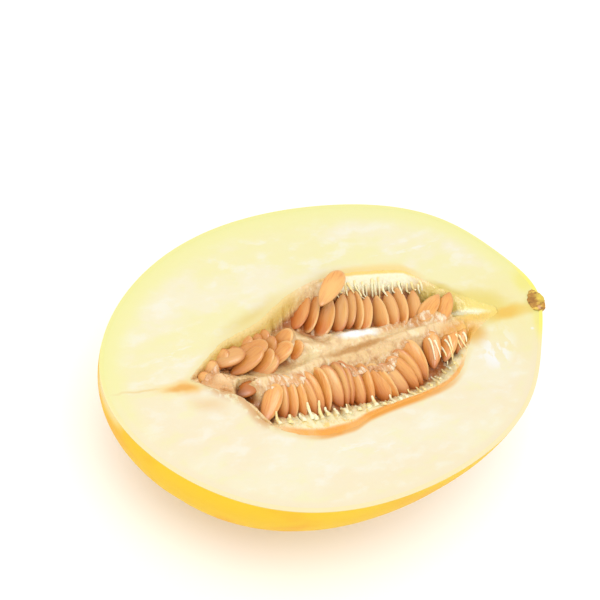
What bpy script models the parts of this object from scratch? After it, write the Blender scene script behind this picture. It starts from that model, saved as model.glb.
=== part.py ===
"""Half of a yellow-skinned melon, cut lengthwise, lying on its rind with the cut face up and level.

Rind, flesh, pulp, seeds and the stub of the stem are separate solids. The shapes are worked out
from the cut plane (z = 0 there, down is negative) and stand CUT_HEIGHT above the surface that the
half rests on. +X runs along the fruit to its stem, and the origin is the middle of the resting spot.
"""

import math
import random

import bmesh
import bpy
from mathutils import Vector

MM = 0.001

# The fruit: half lengths from the widest section, half width there, and its depth below the cut.
BLOSSOM_END = 71.7 * MM
STEM_END = 72.8 * MM
HALF_WIDTH = 52.4 * MM
WIDTH_SERIES = (-0.4 * MM, 2.7 * MM, 7.4 * MM)
DEPTH_SHARE = 1.15
BOW = 2.6 * MM
BOW_SKEW = 0.8 * MM
NECK_LENGTH = 5.5 * MM
NECK_WIDTH = 15.7 * MM
NECK_OFFSET = 4.6 * MM
RESTING_CUT = 0.8 * MM
CUT_HEIGHT = HALF_WIDTH * DEPTH_SHARE - RESTING_CUT
RIND = 1.4 * MM
GAP = 0.35 * MM
STATIONS = 28
ARC_STEPS = 12
CUTTER_RISE = 6 * MM

# The seed cavity: its two edges on the cut face, as (x, y) in millimetres.
FAR_EDGE = (
    (-45, 1.6), (-38, 6.6), (-30.5, 11.2), (-17, 15.4), (-9.5, 19.6), (-1, 23.4), (7, 25.3), (16, 25.4),
    (26, 24.2), (36, 22.2), (40, 19), (46, 13.4), (54.5, 7.1), (63, 1.2),
)
NEAR_EDGE = (
    (-45, 1.6), (-38, -3.4), (-30.5, -8.9), (-28.5, -15), (-26.5, -18.6), (-16.5, -25), (-9, -26.8),
    (-0.5, -26.4), (6, -24.2), (15, -22.7), (26, -21.5), (35, -19.8), (41, -16.4), (46, -10.5),
    (50, -5.8), (54, -3.2), (63, 0.4),
)
CAVITY_DEPTH = (
    (-45, 1.4), (-42, 10), (-37, 16), (-28, 19), (-15, 22), (5, 25), (25, 24), (45, 14), (56, 7), (63, 1.4),
)
CAVITY_STATIONS = 44
CAVITY_ARC_STEPS = 12
CAVITY_TIP = 0.6 * MM
PULP_GAP = 0.75 * MM

# The pulp's top: how far it lies below the cut plane, and the ridges that rise from there.
# Each ridge follows its line of (x, y, half width, rise), in millimetres.
PULP_LEVEL = -6.0
PULP_ROOF = -0.6
PULP_ACROSS = 22
PULP_FLOOR = 0.5 * MM
PULP_EDGE = 0.6
WALL_ROUNDS = 4
SEAT_MARGIN = 1.5
RIDGES = (
    (
        (-16, 9, 3, 0), (-7, 7, 5.0, 4.4), (-3, 5, 4.4, 5), (3, 2.4, 2.8, 5.2), (13, 2.0, 2.6, 5.2),
        (22, 0.6, 2.1, 5), (30, 0.6, 2.0, 4.8), (37, 0.8, 2.6, 4.6), (46, 0.6, 4.5, 5.4), (56, 1.0, 4, 5.4),
        (63, 0.8, 3, 5.4),
    ),
    (
        (-46, 1.6, 3, 5.4), (-36, -1.6, 3.6, 5.4), (-29, -3.0, 3.6, 5.4), (-20, -4.4, 4.8, 5.2),
        (-12, -4.4, 4.4, 4.8), (-4, -2, 3, 3.4), (4, 0, 2, 0),
    ),
    ((-30, -9, 3, 4.8), (-27, -13, 3, 4.2), (-22, -22, 3, 3.4), (-8, -26, 4.4, 4.4), (4, -24.6, 4.4, 4.4),
     (20, -22.4, 3.6, 4.2), (36, -18.6, 3.6, 4.2), (46, -10, 3, 4.0), (54, -3, 3, 4.4)),
    (
        (-14, -4, 3, 0), (-8, -4.4, 3, 2.8), (2, -3, 3, 3.2), (14, -3.6, 3, 3.4), (26, -3.4, 3, 3.4),
        (34, -1.5, 3, 3), (44, -1.5, 3, 2.6), (50, 0, 3, 0),
    ),
    ((6, 25.5, 3, 0), (14, 25.4, 3.0, 4), (30, 23.6, 3.0, 4), (42, 17, 3.5, 3), (50, 10, 3.5, 4.4)),
)
HOLLOW = (-28.6, -5.4, 3.4, 2.8, -6.5)

# Seeds, in millimetres and degrees. "line" is the line of the seen ends of a row as (x, y, z),
# and "fall" how steeply a seed goes down from there to its root. "seeds" are (x, heading from the
# seen end to the root, how far the face is tipped from level, share of SEED_LENGTH).
SEED_LENGTH = 14.5
SEED_WIDTH = 6.3
SEED_THICKNESS = 2.0
SEED_SIDES = 8
SEED_TAPER = 0.22
SEED_CROWN = ((0.0, 1.0), (0.62, 0.8), (1.0, 0.0))
CORD_RADIUS = 1.2
CORD_SIDES = 4
CORD_EVERY = {"seeds_near_row": 5, "seeds_far_row": 5, "seeds_pocket": 2}
CORD_PLACE = 0.86
CORD_SINK = 1.5
NEAR_ROW = {
    "line": (
        (-26, -16.6, -4.2), (-18.5, -16.8, -5.2), (-12.5, -18.4, -5.2), (-6, -17.6, -5.2), (4, -17.2, -5.2),
        (8, -19.4, -5.4), (16, -20.1, -5.4), (24, -18.7, -5.2), (31, -15.2, -5), (35, -12, -4.6),
        (45, -9.5, -4.0),
    ),
    "seeds": (
        (-26, 55, 15, 0.9), (-18.9, 88, 45, 1.0), (-15.8, 90, 45, 1.0), (-12.6, 95, 52, 1.0),
        (-8.5, 105, 45, 1.0), (-6.3, 102, 38, 1.0), (-4, 92, 58, 1.0), (0.4, 101, 36, 1.0),
        (2.4, 93, 58, 1.0), (4, 92, 62, 1.0), (7.2, 97, 50, 1.0), (9.9, 91, 58, 1.0), (16, 106, 38, 1.0),
        (19.1, 116, 58, 1.0), (23.4, 127, 35, 1.0), (27.1, 124, 45, 1.0), (28.8, 118, 50, 1.0),
        (31, 106, 35, 1.0), (34.6, 77, 30, 0.85), (39, 62, 35, 0.8), (44.2, 71, 35, 0.8),
    ),
    "fall": -18,
}
FAR_ROW = {
    "line": (
        (4, 23.4, -3.6), (6.5, 22.2, -3.8), (11, 19, -3.6), (15, 20.2, -3.2), (18, 21, -3.2), (22, 17.6, -3.2),
        (26, 17, -3.2), (33, 18, -3.2), (38, 16, -3.0), (44.6, 10.8, 0.2), (48.4, 10.4, 0.4),
    ),
    "seeds": (
        (4, 232, 50, 0.97), (6.6, 238, 58, 0.97), (10.8, 234, 40, 0.97), (15, 243, 46, 0.97),
        (18, 246, 56, 0.97), (19.6, 251, 64, 0.97), (22.6, 240, 38, 0.97), (25.4, 260, 52, 0.97),
        (29.7, 257, 50, 0.97), (33.4, 257, 56, 0.97), (38.2, 250, 48, 0.97), (44.6, 218, 34, 0.82),
        (48.4, 228, 30, 0.8),
    ),
    "fall": 6,
}
POCKET = (
    # x, y and z of the seen end, heading, fall, tilt, length
    (-38.6, 2.6, -0.2, 228, 34, 20, 0.34),
    (-34.7, 5.8, -0.6, 222, 34, 22, 0.45),
    (-29.8, 8.8, -0.6, 222, 36, 24, 0.55),
    (-26.3, 9.4, -1.4, 232, 40, 24, 0.55),
    (-24.8, 6.3, 0.2, 180, 22, 34, 0.8),
    (-20.5, 11.4, -1.2, 206, 32, 26, 0.65),
    (-19.1, 5.8, 0.8, 198, 28, 40, 0.9),
    (-17.6, 11.8, -1.4, 222, 38, 30, 0.65),
    (-16.7, 7.3, 0.0, 180, 20, 40, 0.8),
    (-16.0, 4.8, 0.2, 210, 38, 48, 0.85),
    (-14.5, 12.2, -1.4, 214, 36, 30, 0.65),
    (-15.0, 2.2, -0.2, 198, 35, 46, 0.8),
    (-13.6, 9.4, -0.6, 224, 40, 36, 0.75),
    (-9.3, 5.6, 0.4, 200, 32, 30, 0.85),
    (-7.7, 10.1, 0.2, 208, 40, 36, 0.85),
    (-5.6, 6.0, -0.8, 214, 45, 40, 0.6),
)
HOLLOW_SEED = (-22.9, -3.4, -2.3, 190, 14, 20, 0.7)
LOOSE_SEED = ((3.2, 14.6, 3.0), (14.4, 24.6, 3.9), 12)
JITTER_DEGREES = 2.0
JITTER_SEED = 3

# Fibres of the pulp. Each fringe runs from one line of (x, y) towards another, in millimetres:
# first x, last x, how many, share of the way where they start and end, radius.
NEAR_FRINGE = (-23, 38, 13, 0.55, 0.95, 0.9)
FAR_FRINGE = (12, 36, 9, 0.4, 1.0, 0.8)
SEPTUM_FRINGE = (-6, 28, 8, 0.0, 0.95, 0.8)
FIBRE_SINK = 0.9
FIBRE_LIFT = 0.4
SEPTUM_LINE = ((-16, -4.5), (-8, -2.6), (4, 1.0), (14, 1.0), (29, 0.6))
SEPTUM_END = ((-16, -8), (-8, -6), (4, -2.6), (14, -5.0), (29, -2.0))
FIBRE_SIDES = 5
FIBRE_LEAN = 0.25

# The stem stub: (x, radius) of its sections in millimetres, and the line of its middle.
STUB_SECTIONS = ((73.3, 2.6), (74.6, 3.6), (76.2, 4.2), (77.6, 4.2), (78.8, 3.4), (79.4, 2.0))
STUB_START_Y = 1.4
STUB_END_Y = 0.2
STUB_ARC_STEPS = 10
STUB_RIDGES = 5
STUB_RIDGE_SHARE = 0.08
STUB_TOP = 0.5

SKIN_COLOUR = (0.96, 0.66, 0.03)
FLESH_COLOUR = (0.95, 0.88, 0.68)
PULP_COLOUR = (0.87, 0.66, 0.38)
SEED_COLOUR = (0.82, 0.42, 0.16)
STUB_COLOUR = (0.42, 0.26, 0.08)


def clear_scene():
    for item in list(bpy.data.objects):
        bpy.data.objects.remove(item)


def material(name, colour, roughness):
    made = bpy.data.materials.new(name)
    made.use_nodes = True
    surface = made.node_tree.nodes["Principled BSDF"]
    surface.inputs["Base Color"].default_value = (*colour, 1)
    surface.inputs["Roughness"].default_value = roughness
    surface.inputs["Metallic"].default_value = 0
    return made


def add_object(name, bm, finish=None):
    mesh = bpy.data.meshes.new(name)
    bm.to_mesh(mesh)
    bm.free()
    made = bpy.data.objects.new(name, mesh)
    bpy.context.scene.collection.objects.link(made)
    if finish:
        mesh.materials.append(finish)
    return made


def skin(name, loops, finish=None):
    """A closed solid through cross-section loops. A loop of one point makes a tip."""
    bm = bmesh.new()
    rings = [[bm.verts.new(point) for point in loop] for loop in loops]
    for first, second in zip(rings, rings[1:]):
        count = max(len(first), len(second))
        for step in range(count):
            after = (step + 1) % count
            corners = (
                first[step % len(first)],
                first[after % len(first)],
                second[after % len(second)],
                second[step % len(second)],
            )
            bm.faces.new(dict.fromkeys(corners))
    for ring in (rings[0], rings[-1]):
        if len(ring) > 2:
            bm.faces.new(ring)
    close_outwards(bm)
    return add_object(name, bm, finish)


def close_outwards(bm):
    """Triangulates a closed surface and turns its faces outwards."""
    bmesh.ops.triangulate(bm, faces=bm.faces, quad_method="FIXED")
    bmesh.ops.recalc_face_normals(bm, faces=bm.faces)
    if bm.calc_volume(signed=True) < 0:
        bmesh.ops.reverse_faces(bm, faces=bm.faces)


def half_turn(steps):
    """Cosines and sines over half a turn, with the ends exactly level."""
    angles = [math.pi * step / steps for step in range(steps + 1)]
    return [(math.cos(angle), round(math.sin(angle), 9)) for angle in angles]


def combine(target, others, operation, solver="EXACT"):
    """Joins or cuts target with others in one Boolean, applies it and removes the others."""
    group = bpy.data.collections.new("others")
    bpy.context.scene.collection.children.link(group)
    for other in others:
        bpy.context.scene.collection.objects.unlink(other)
        group.objects.link(other)
    step = target.modifiers.new("combine", "BOOLEAN")
    step.operation = operation
    step.operand_type = "COLLECTION"
    step.collection = group
    step.solver = solver
    apply_modifiers(target)
    for other in list(group.objects):
        bpy.data.objects.remove(other)
    bpy.data.collections.remove(group)
    return target


def apply_modifiers(target):
    graph = bpy.context.evaluated_depsgraph_get()
    finished = bpy.data.meshes.new_from_object(target.evaluated_get(graph))
    target.modifiers.clear()
    target.data = finished


def keep_largest_body(target):
    """Drops the loose scraps and the filled hollows that a Boolean leaves."""
    bm = bmesh.new()
    bm.from_mesh(target.data)
    bodies = []
    unseen = set(bm.verts)
    while unseen:
        body = set()
        edge_of_search = [unseen.pop()]
        while edge_of_search:
            vert = edge_of_search.pop()
            body.add(vert)
            for edge in vert.link_edges:
                other = edge.other_vert(vert)
                if other in unseen:
                    unseen.remove(other)
                    edge_of_search.append(other)
        bodies.append(body)
    bodies.sort(key=len)
    loose = [vert for body in bodies[:-1] for vert in body]
    bmesh.ops.delete(bm, geom=loose, context="VERTS")
    bm.to_mesh(target.data)
    bm.free()


def smooth_through(points, at):
    """The value at a place along a smooth curve through (place, value) points, with no overshoot."""
    places = [point[0] for point in points]
    values = [point[1] for point in points]
    at = min(max(at, places[0]), places[-1])
    slopes = [(values[i + 1] - values[i]) / (places[i + 1] - places[i]) for i in range(len(points) - 1)]
    bends = [slopes[0]]
    for before, after in zip(slopes, slopes[1:]):
        level = before * after <= 0
        bends.append(0.0 if level else 2 * before * after / (before + after))
    bends.append(slopes[-1])
    part = max(i for i in range(len(slopes)) if places[i] <= at)
    width = places[part + 1] - places[part]
    share = (at - places[part]) / width
    start = (1 + 2 * share) * (1 - share) ** 2 * values[part] + share * (1 - share) ** 2 * width * bends[part]
    end = share**2 * (3 - 2 * share) * values[part + 1] + share**2 * (share - 1) * width * bends[part + 1]
    return start + end


def fruit_loop(turn, inset, top):
    """The cross-section at a turn from the stem end (0) to the blossom end (pi), below the cut plane."""
    along, across = math.cos(turn), math.sin(turn)
    length = (STEM_END if along > 0 else BLOSSOM_END) - inset
    series = sum(part * along ** (power + 1) for power, part in enumerate(WIDTH_SERIES))
    half = across * (HALF_WIDTH - inset + series)
    middle = BOW - across**2 * (BOW - BOW_SKEW * along)
    points = []
    for cosine, sine in half_turn(ARC_STEPS):
        y = middle + half * cosine
        z = -DEPTH_SHARE * half * sine
        reach = ((y - NECK_OFFSET) ** 2 + z**2) / NECK_WIDTH**2
        neck = NECK_LENGTH * math.exp(-reach) if along > 0 else 0
        points.append(Vector((length * along + neck, y, z)))
    if half < MM:
        return [points[0] if top == 0 else points[0] + Vector((0, 0, top))]
    if top:
        rise = Vector((0, 0, top))
        points = [points[0] + rise, *points, points[-1] + rise]
    return points


def fruit_body(name, inset, top=0.0, finish=None):
    """The fruit's half as a solid, inset from the skin. With a top it reaches above the cut plane."""
    turns = [math.pi * step / STATIONS for step in range(1, STATIONS)]
    tips = []
    for turn in (0.0, math.pi):
        tip = fruit_loop(turn, inset, 0)[0]
        tips.append([tip, tip + Vector((0, 0, top))] if top else [tip])
    loops = [fruit_loop(turn, inset, top) for turn in turns]
    if not top:
        return skin(name, [tips[0], *loops, tips[1]], finish)
    count = len(loops[0])
    ends = [[tip[1], *[tip[0]] * (count - 2), tip[1]] for tip in tips]
    body = skin_with_edges(name, [ends[0], *loops, ends[1]], finish)
    return body


def skin_with_edges(name, loops, finish):
    """As skin, where the first and last loops have closed up to an upright edge."""
    bm = bmesh.new()
    rings = []
    for loop in loops:
        made = {}
        ring = []
        for point in loop:
            key = tuple(round(value / (0.001 * MM)) for value in point)
            if key not in made:
                made[key] = bm.verts.new(point)
            ring.append(made[key])
        rings.append(ring)
    count = len(loops[0])
    for first, second in zip(rings, rings[1:]):
        for step in range(count):
            after = (step + 1) % count
            corners = dict.fromkeys((first[step], first[after], second[after], second[step]))
            if len(corners) > 2:
                bm.faces.new(corners)
    close_outwards(bm)
    return add_object(name, bm, finish)


def cut_resting_spot(body):
    """Cuts the underside flat where the fruit rests."""
    bm = bmesh.new()
    bm.from_mesh(body.data)
    everything = [*bm.verts, *bm.edges, *bm.faces]
    level = Vector((0, 0, -CUT_HEIGHT))
    cut = bmesh.ops.bisect_plane(bm, geom=everything, plane_co=level, plane_no=(0, 0, -1), clear_outer=True)
    rim = [item for item in cut["geom_cut"] if isinstance(item, bmesh.types.BMEdge)]
    bmesh.ops.contextual_create(bm, geom=rim)
    bmesh.ops.recalc_face_normals(bm, faces=bm.faces)
    bm.to_mesh(body.data)
    bm.free()


def cavity_section(x, inset):
    """The middle, half width and depth of the cavity at x, in metres."""
    far = smooth_through(FAR_EDGE, x / MM) * MM - inset
    near = smooth_through(NEAR_EDGE, x / MM) * MM + inset
    half = (far - near) / 2
    return (far + near) / 2, half, smooth_through(CAVITY_DEPTH, x / MM) * MM


def cavity_places():
    first, last = FAR_EDGE[0][0] * MM + CAVITY_TIP, FAR_EDGE[-1][0] * MM - 2 * CAVITY_TIP
    turns = [math.pi * step / CAVITY_STATIONS for step in range(CAVITY_STATIONS + 1)]
    return [(first + last) / 2 - math.cos(turn) * (last - first) / 2 for turn in turns]


def cavity_cutter():
    loops = []
    for x in cavity_places():
        middle, half, depth = cavity_section(x, 0)
        arc = half_turn(CAVITY_ARC_STEPS)
        points = [Vector((x, middle + half * cosine, -depth * sine)) for cosine, sine in arc]
        rise = Vector((0, 0, CUTTER_RISE))
        loops.append([points[0] + rise, *points, points[-1] + rise])
    return skin("cavity_cutter", loops)


def bump(x, y, centre_x, centre_y, half_length, half_width, rise):
    return rise * math.exp(-(((x - centre_x) / half_length) ** 2) - ((y - centre_y) / half_width) ** 2)


def ridge_height(line, x, y):
    """The rise of one ridge at (x, y), fading out beyond its ends."""
    centre, half_width, rise = (smooth_through([(spot[0], spot[part]) for spot in line], x) for part in (1, 2, 3))
    beyond = max(line[0][0] - x, x - line[-1][0], 0)
    return bump(x, y, x, centre, 1, half_width, rise) * math.exp(-((beyond / 3) ** 2))


def pulp_top(x, y):
    """How far the pulp's top lies above the cut plane at (x, y), all in millimetres."""
    height = PULP_LEVEL + sum(ridge_height(line, x, y) for line in RIDGES)
    return min(height, PULP_ROOF) + bump(x, y, *HOLLOW)


def seed_underside(x, y, place):
    """The underside of a seed's seat over (x, y), in millimetres, or the cut plane beside the seat."""
    end_x, end_y, end_z, heading, fall, tilt, share = place
    axes = seed_axes(heading, fall, tilt)
    middle = Vector((end_x, end_y, end_z)) + axes[0] * SEED_LENGTH * share / 2
    sizes = (SEED_LENGTH * share / 2 + SEAT_MARGIN, SEED_WIDTH / 2 + SEAT_MARGIN, SEED_THICKNESS / 2 + SEAT_MARGIN)
    offset = Vector((x - middle.x, y - middle.y, 0))
    square = sum((axis.z / size) ** 2 for axis, size in zip(axes, sizes))
    mixed = sum(axis.z * axis.dot(offset) / size**2 for axis, size in zip(axes, sizes))
    rest = sum((axis.dot(offset) / size) ** 2 for axis, size in zip(axes, sizes)) - 1
    inside = mixed**2 - square * rest
    return middle.z + (-mixed - math.sqrt(inside)) / square if inside > 0 else 0


def cord_underside(x, y, start, end):
    """The underside of the seat of one length of cord over (x, y), in millimetres."""
    run = (end - start).to_2d()
    share = min(max((Vector((x, y)) - start.to_2d()).dot(run) / run.length_squared, 0), 1)
    reach = CORD_RADIUS + SEAT_MARGIN
    near = (start.to_2d() + run * share - Vector((x, y))).length < reach
    return start.z + (end.z - start.z) * share - reach if near else 0


def pulp_surface(x, y, groups):
    """The pulp's top at (x, y), low enough to leave every seed and cord clear, in millimetres."""
    heights = [pulp_top(x, y)]
    for places, cord in groups:
        heights += [seed_underside(x, y, place) for place in places]
        heights += [cord_underside(x, y, *ends) for ends in zip(cord, cord[1:])]
    return min(heights)


def wall_meeting(x, section, side, groups):
    """Where the pulp's top meets the cavity's wall on one side: across and height, in metres."""
    middle, half, depth = section
    sunk = 0.0
    for _ in range(WALL_ROUNDS):
        y = middle + side * half * math.sqrt(1 - sunk**2)
        height = max(pulp_surface(x / MM, y / MM, groups) * MM, -PULP_EDGE * depth)
        sunk = -height / depth
    return middle + side * half * math.sqrt(1 - sunk**2), height


def pulp_body(groups, finish):
    loops = []
    for x in cavity_places()[2:-2]:
        middle, half, depth = cavity_section(x, PULP_GAP)
        depth -= PULP_GAP
        far, near = (wall_meeting(x, (middle, half, depth), side, groups) for side in (1, -1))
        points = [Vector((x, *far))]
        for cosine, _ in half_turn(PULP_ACROSS)[1:-1]:
            y = (far[0] + near[0]) / 2 + (far[0] - near[0]) / 2 * cosine
            floor = (PULP_FLOOR - depth) * math.sqrt(1 - ((y - middle) / half) ** 2)
            points.append(Vector((x, y, max(pulp_surface(x / MM, y / MM, groups) * MM, floor, -PULP_EDGE * depth))))
        points.append(Vector((x, *near)))
        start = math.asin(-far[1] / depth)
        end = math.pi - math.asin(-near[1] / depth)
        for step in range(1, CAVITY_ARC_STEPS):
            angle = end + (start - end) * step / CAVITY_ARC_STEPS
            points.append(Vector((x, middle + half * math.cos(angle), -depth * math.sin(angle))))
        loops.append(points)
    return skin("pulp", loops, finish)


def seed_axes(heading, fall, tilt):
    """The directions of a seed's length, width and face."""
    turn, drop, tip = (math.radians(value) for value in (heading, fall, tilt))
    length = Vector((math.cos(turn) * math.cos(drop), math.sin(turn) * math.cos(drop), -math.sin(drop)))
    face = Vector((-math.sin(tip), 0, math.cos(tip)))
    face = (face - face.dot(length) * length).normalized()
    return length, face.cross(length), face


def seed(name, seen_end, axes, share, point_seen, finish=None):
    """A flat pointed lens. seen_end is the middle of the end that shows."""
    length, width, face = axes
    long = SEED_LENGTH * share * MM
    wide = SEED_WIDTH * (1 + share) / 2 * MM
    thick = SEED_THICKNESS * MM
    middle = seen_end + length * (SEED_LENGTH * share * MM / 2)
    point = -1 if point_seen else 1
    loops = []
    for out, rise in [*SEED_CROWN, *[(out, -rise) for out, rise in reversed(SEED_CROWN[:-1])]]:
        ring = []
        for step in range(SEED_SIDES if out else 1):
            angle = 2 * math.pi * step / SEED_SIDES
            along = math.cos(angle)
            across = math.sin(angle) * (1 - SEED_TAPER * along * point)
            ring.append(
                middle
                + length * (along * long / 2 * out)
                + width * (across * wide / 2 * out)
                + face * (rise * thick / 2)
            )
        loops.append(ring)
    return skin(name, loops, finish)


def row_places(row):
    """The (x, y, z, heading, fall, tilt, length) of each seed of a row."""
    for x, heading, tilt, share in row["seeds"]:
        y, z = (smooth_through([(spot[0], spot[part]) for spot in row["line"]], x) for part in (1, 2))
        yield x, y, z, heading, row["fall"], tilt, share


def seed_places():
    """The places of the seeds of each group, with a little chance in how they turn."""
    draw = random.Random(JITTER_SEED)
    groups = {"seeds_near_row": row_places(NEAR_ROW), "seeds_far_row": row_places(FAR_ROW), "seeds_pocket": POCKET}
    turned = {}
    for name, places in groups.items():
        turned[name] = []
        for x, y, z, heading, fall, tilt, share in places:
            heading += draw.uniform(-JITTER_DEGREES, JITTER_DEGREES)
            tilt += draw.uniform(-JITTER_DEGREES, JITTER_DEGREES)
            turned[name].append((x, y, z, heading, fall, tilt, share))
    return turned


def cord_knots(places, every):
    """Points under the hidden ends of every few seeds, in millimetres: the cord runs through them."""
    roots = []
    for x, y, z, heading, fall, tilt, share in places:
        run = seed_axes(heading, fall, tilt)[0] * SEED_LENGTH * share * CORD_PLACE
        roots.append(Vector((x, y, z - CORD_SINK)) + run)
    roots.sort(key=lambda point: point.x)
    return [*roots[:-1:every], roots[-1]]


def link(name, start, end):
    """One length of the cord that a group's seeds grow from."""
    radius = CORD_RADIUS * MM
    along = (end - start).normalized()
    side = along.cross(Vector((0, 0, 1))).normalized()
    up = side.cross(along)
    loops = []
    for point in (start - along * radius / 2, end + along * radius / 2):
        ring = []
        for step in range(CORD_SIDES):
            angle = 2 * math.pi * step / CORD_SIDES
            ring.append(point + (side * math.cos(angle) + up * math.sin(angle)) * radius)
        loops.append(ring)
    return skin(name, loops)


def placed_seed(name, place, point_seen, finish=None):
    x, y, z, heading, fall, tilt, share = place
    return seed(name, Vector((x, y, z)) * MM, seed_axes(heading, fall, tilt), share, point_seen, finish)


def seed_group(name, places, point_seen, finish):
    """Seeds and the cord that joins their hidden ends, as one body."""
    knots = [knot * MM for knot in cord_knots(places, CORD_EVERY[name])]
    links = [link(name, *ends) for ends in zip(knots, knots[1:])]
    body = links.pop(0)
    body.data.materials.append(finish)
    pieces = [placed_seed("seed", place, point_seen) for place in places]
    combine(body, links + pieces, "UNION", "MANIFOLD")
    keep_largest_body(body)
    return body


def fibre(name, start, end, radius):
    """One blunt tapering finger of pulp between two points in millimetres."""
    along = end - start
    side = along.cross(Vector((0, 0, 1))).normalized()
    above = side.cross(along).normalized()
    loops = []
    for share, thick in ((0.0, 1.0), (0.85, 0.8), (1.0, 0.4)):
        ring = []
        for step in range(FIBRE_SIDES):
            angle = 2 * math.pi * step / FIBRE_SIDES
            out = (side * math.cos(angle) + above * math.sin(angle)) * radius * thick
            ring.append((start + along * share + out) * MM)
        loops.append(ring)
    return skin(name, loops)


def fringe(spec, line, towards, groups, draw):
    """A row of fingers that lie on the pulp across the strip between two lines."""
    first, last, count, start_share, end_share, radius = spec
    made = []
    for number in range(count):
        x = first + (last - first) * (number + draw.uniform(-0.3, 0.3)) / (count - 1)
        edge, far = smooth_through(line, x), smooth_through(towards, x)
        y, end_y = (edge + (far - edge) * share for share in (start_share, end_share))
        end_x = x + (end_y - y) * draw.uniform(-FIBRE_LEAN, FIBRE_LEAN)
        start = Vector((x, y, pulp_surface(x, y, groups) - FIBRE_SINK))
        end = Vector((end_x, end_y, pulp_surface(end_x, end_y, groups) + FIBRE_LIFT))
        made.append(fibre("fibre", start, end, radius * draw.uniform(0.8, 1.1)))
    return made


def stub_loops(grow, top):
    loops = []
    for x, radius in STUB_SECTIONS:
        share = (x - STUB_SECTIONS[0][0]) / (STUB_SECTIONS[-1][0] - STUB_SECTIONS[0][0])
        y = STUB_START_Y + (STUB_END_Y - STUB_START_Y) * share
        points = []
        for step, (cosine, sine) in enumerate(half_turn(STUB_ARC_STEPS)):
            ridge = 1 + STUB_RIDGE_SHARE * math.cos(2 * math.pi * STUB_RIDGES * step / STUB_ARC_STEPS)
            out = (radius + grow) * ridge
            points.append(Vector((x, y + out * cosine, -out * sine)) * MM)
        if grow:
            rise = Vector((0, 0, CUTTER_RISE))
            points = [points[0] + rise, *points, points[-1] + rise]
        else:
            points.append(Vector((x, y - radius / 3, top * (1 - share))) * MM)
            points.append(Vector((x, y + radius / 3, top * (1 - 0.5 * share))) * MM)
        loops.append(points)
    return loops


def socket_cutter():
    """The seat of the stem, a little larger than the stub all round."""
    loops = stub_loops(GAP / MM, 0)
    start = [point - Vector((GAP, 0, 0)) for point in loops[0]]
    end = [point + Vector((6 * MM, 0, 0)) for point in loops[2]]
    return skin("socket_cutter", [start, loops[1], loops[2], end])


def make_rind():
    body = fruit_body("rind", 0, finish=material("rind_yellow", SKIN_COLOUR, 0.45))
    cut_resting_spot(body)
    return combine(body, [fruit_body("inner", RIND, CUTTER_RISE), socket_cutter()], "DIFFERENCE")


def make_flesh():
    body = fruit_body("flesh", RIND + GAP, finish=material("flesh_cream", FLESH_COLOUR, 0.4))
    return combine(body, [cavity_cutter(), socket_cutter()], "DIFFERENCE", "MANIFOLD")


def make_pulp():
    draw = random.Random(JITTER_SEED)
    groups = [(places, cord_knots(places, CORD_EVERY[name])) for name, places in seed_places().items()]
    groups.append(([HOLLOW_SEED], []))
    body = pulp_body(groups, material("pulp_tan", PULP_COLOUR, 0.35))
    fingers = fringe(NEAR_FRINGE, NEAR_EDGE, NEAR_ROW["line"], groups, draw)
    fingers += fringe(FAR_FRINGE, FAR_EDGE, FAR_ROW["line"], groups, draw)
    fingers += fringe(SEPTUM_FRINGE, SEPTUM_LINE, SEPTUM_END, groups, draw)
    combine(body, fingers, "UNION", "MANIFOLD")
    keep_largest_body(body)
    return body


def make_seeds(finish):
    made = [seed_group(name, places, "row" in name, finish) for name, places in seed_places().items()]
    return [*made, placed_seed("seed_in_hollow", HOLLOW_SEED, False, finish), make_loose_seed(finish)]


def make_loose_seed(finish):
    start, end, tilt = LOOSE_SEED
    run = Vector(end) - Vector(start)
    heading = math.degrees(math.atan2(run.y, run.x))
    fall = -math.degrees(math.atan2(run.z, math.hypot(run.x, run.y)))
    axes = seed_axes(heading, fall, tilt)
    return seed("loose_seed", Vector(start) * MM, axes, run.length / SEED_LENGTH, True, finish)


def make_stub():
    return skin("stem_stub", stub_loops(0, STUB_TOP), material("stem_brown", STUB_COLOUR, 0.8))


def main():
    clear_scene()
    seed_orange = material("seed_orange", SEED_COLOUR, 0.35)
    parts = [make_rind(), make_flesh(), make_pulp(), make_stub()]
    parts += make_seeds(seed_orange)
    holder = bpy.data.objects.new("melon_half", None)
    bpy.context.scene.collection.objects.link(holder)
    holder.location.z = CUT_HEIGHT
    for part in parts:
        part.parent = holder
        part.data.shade_smooth()
        part.data.set_sharp_from_angle(angle=math.radians(35))


main()
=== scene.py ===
"""Half of a yellow-skinned melon, dressed for the camera.

Run as a script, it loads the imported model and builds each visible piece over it: rind, flesh, pulp,
seeds, fibres and stem, then the floor, lights and camera. Shapes are worked out in millimetres from
the level cut face (z = 0 there), and every finished mesh is in metres in the model's own frame.
"""

import math
import random

import bpy
import numpy as np
from bpy.props import FloatProperty, FloatVectorProperty, IntProperty, PointerProperty
from mathutils import Matrix, Vector, noise


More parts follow.
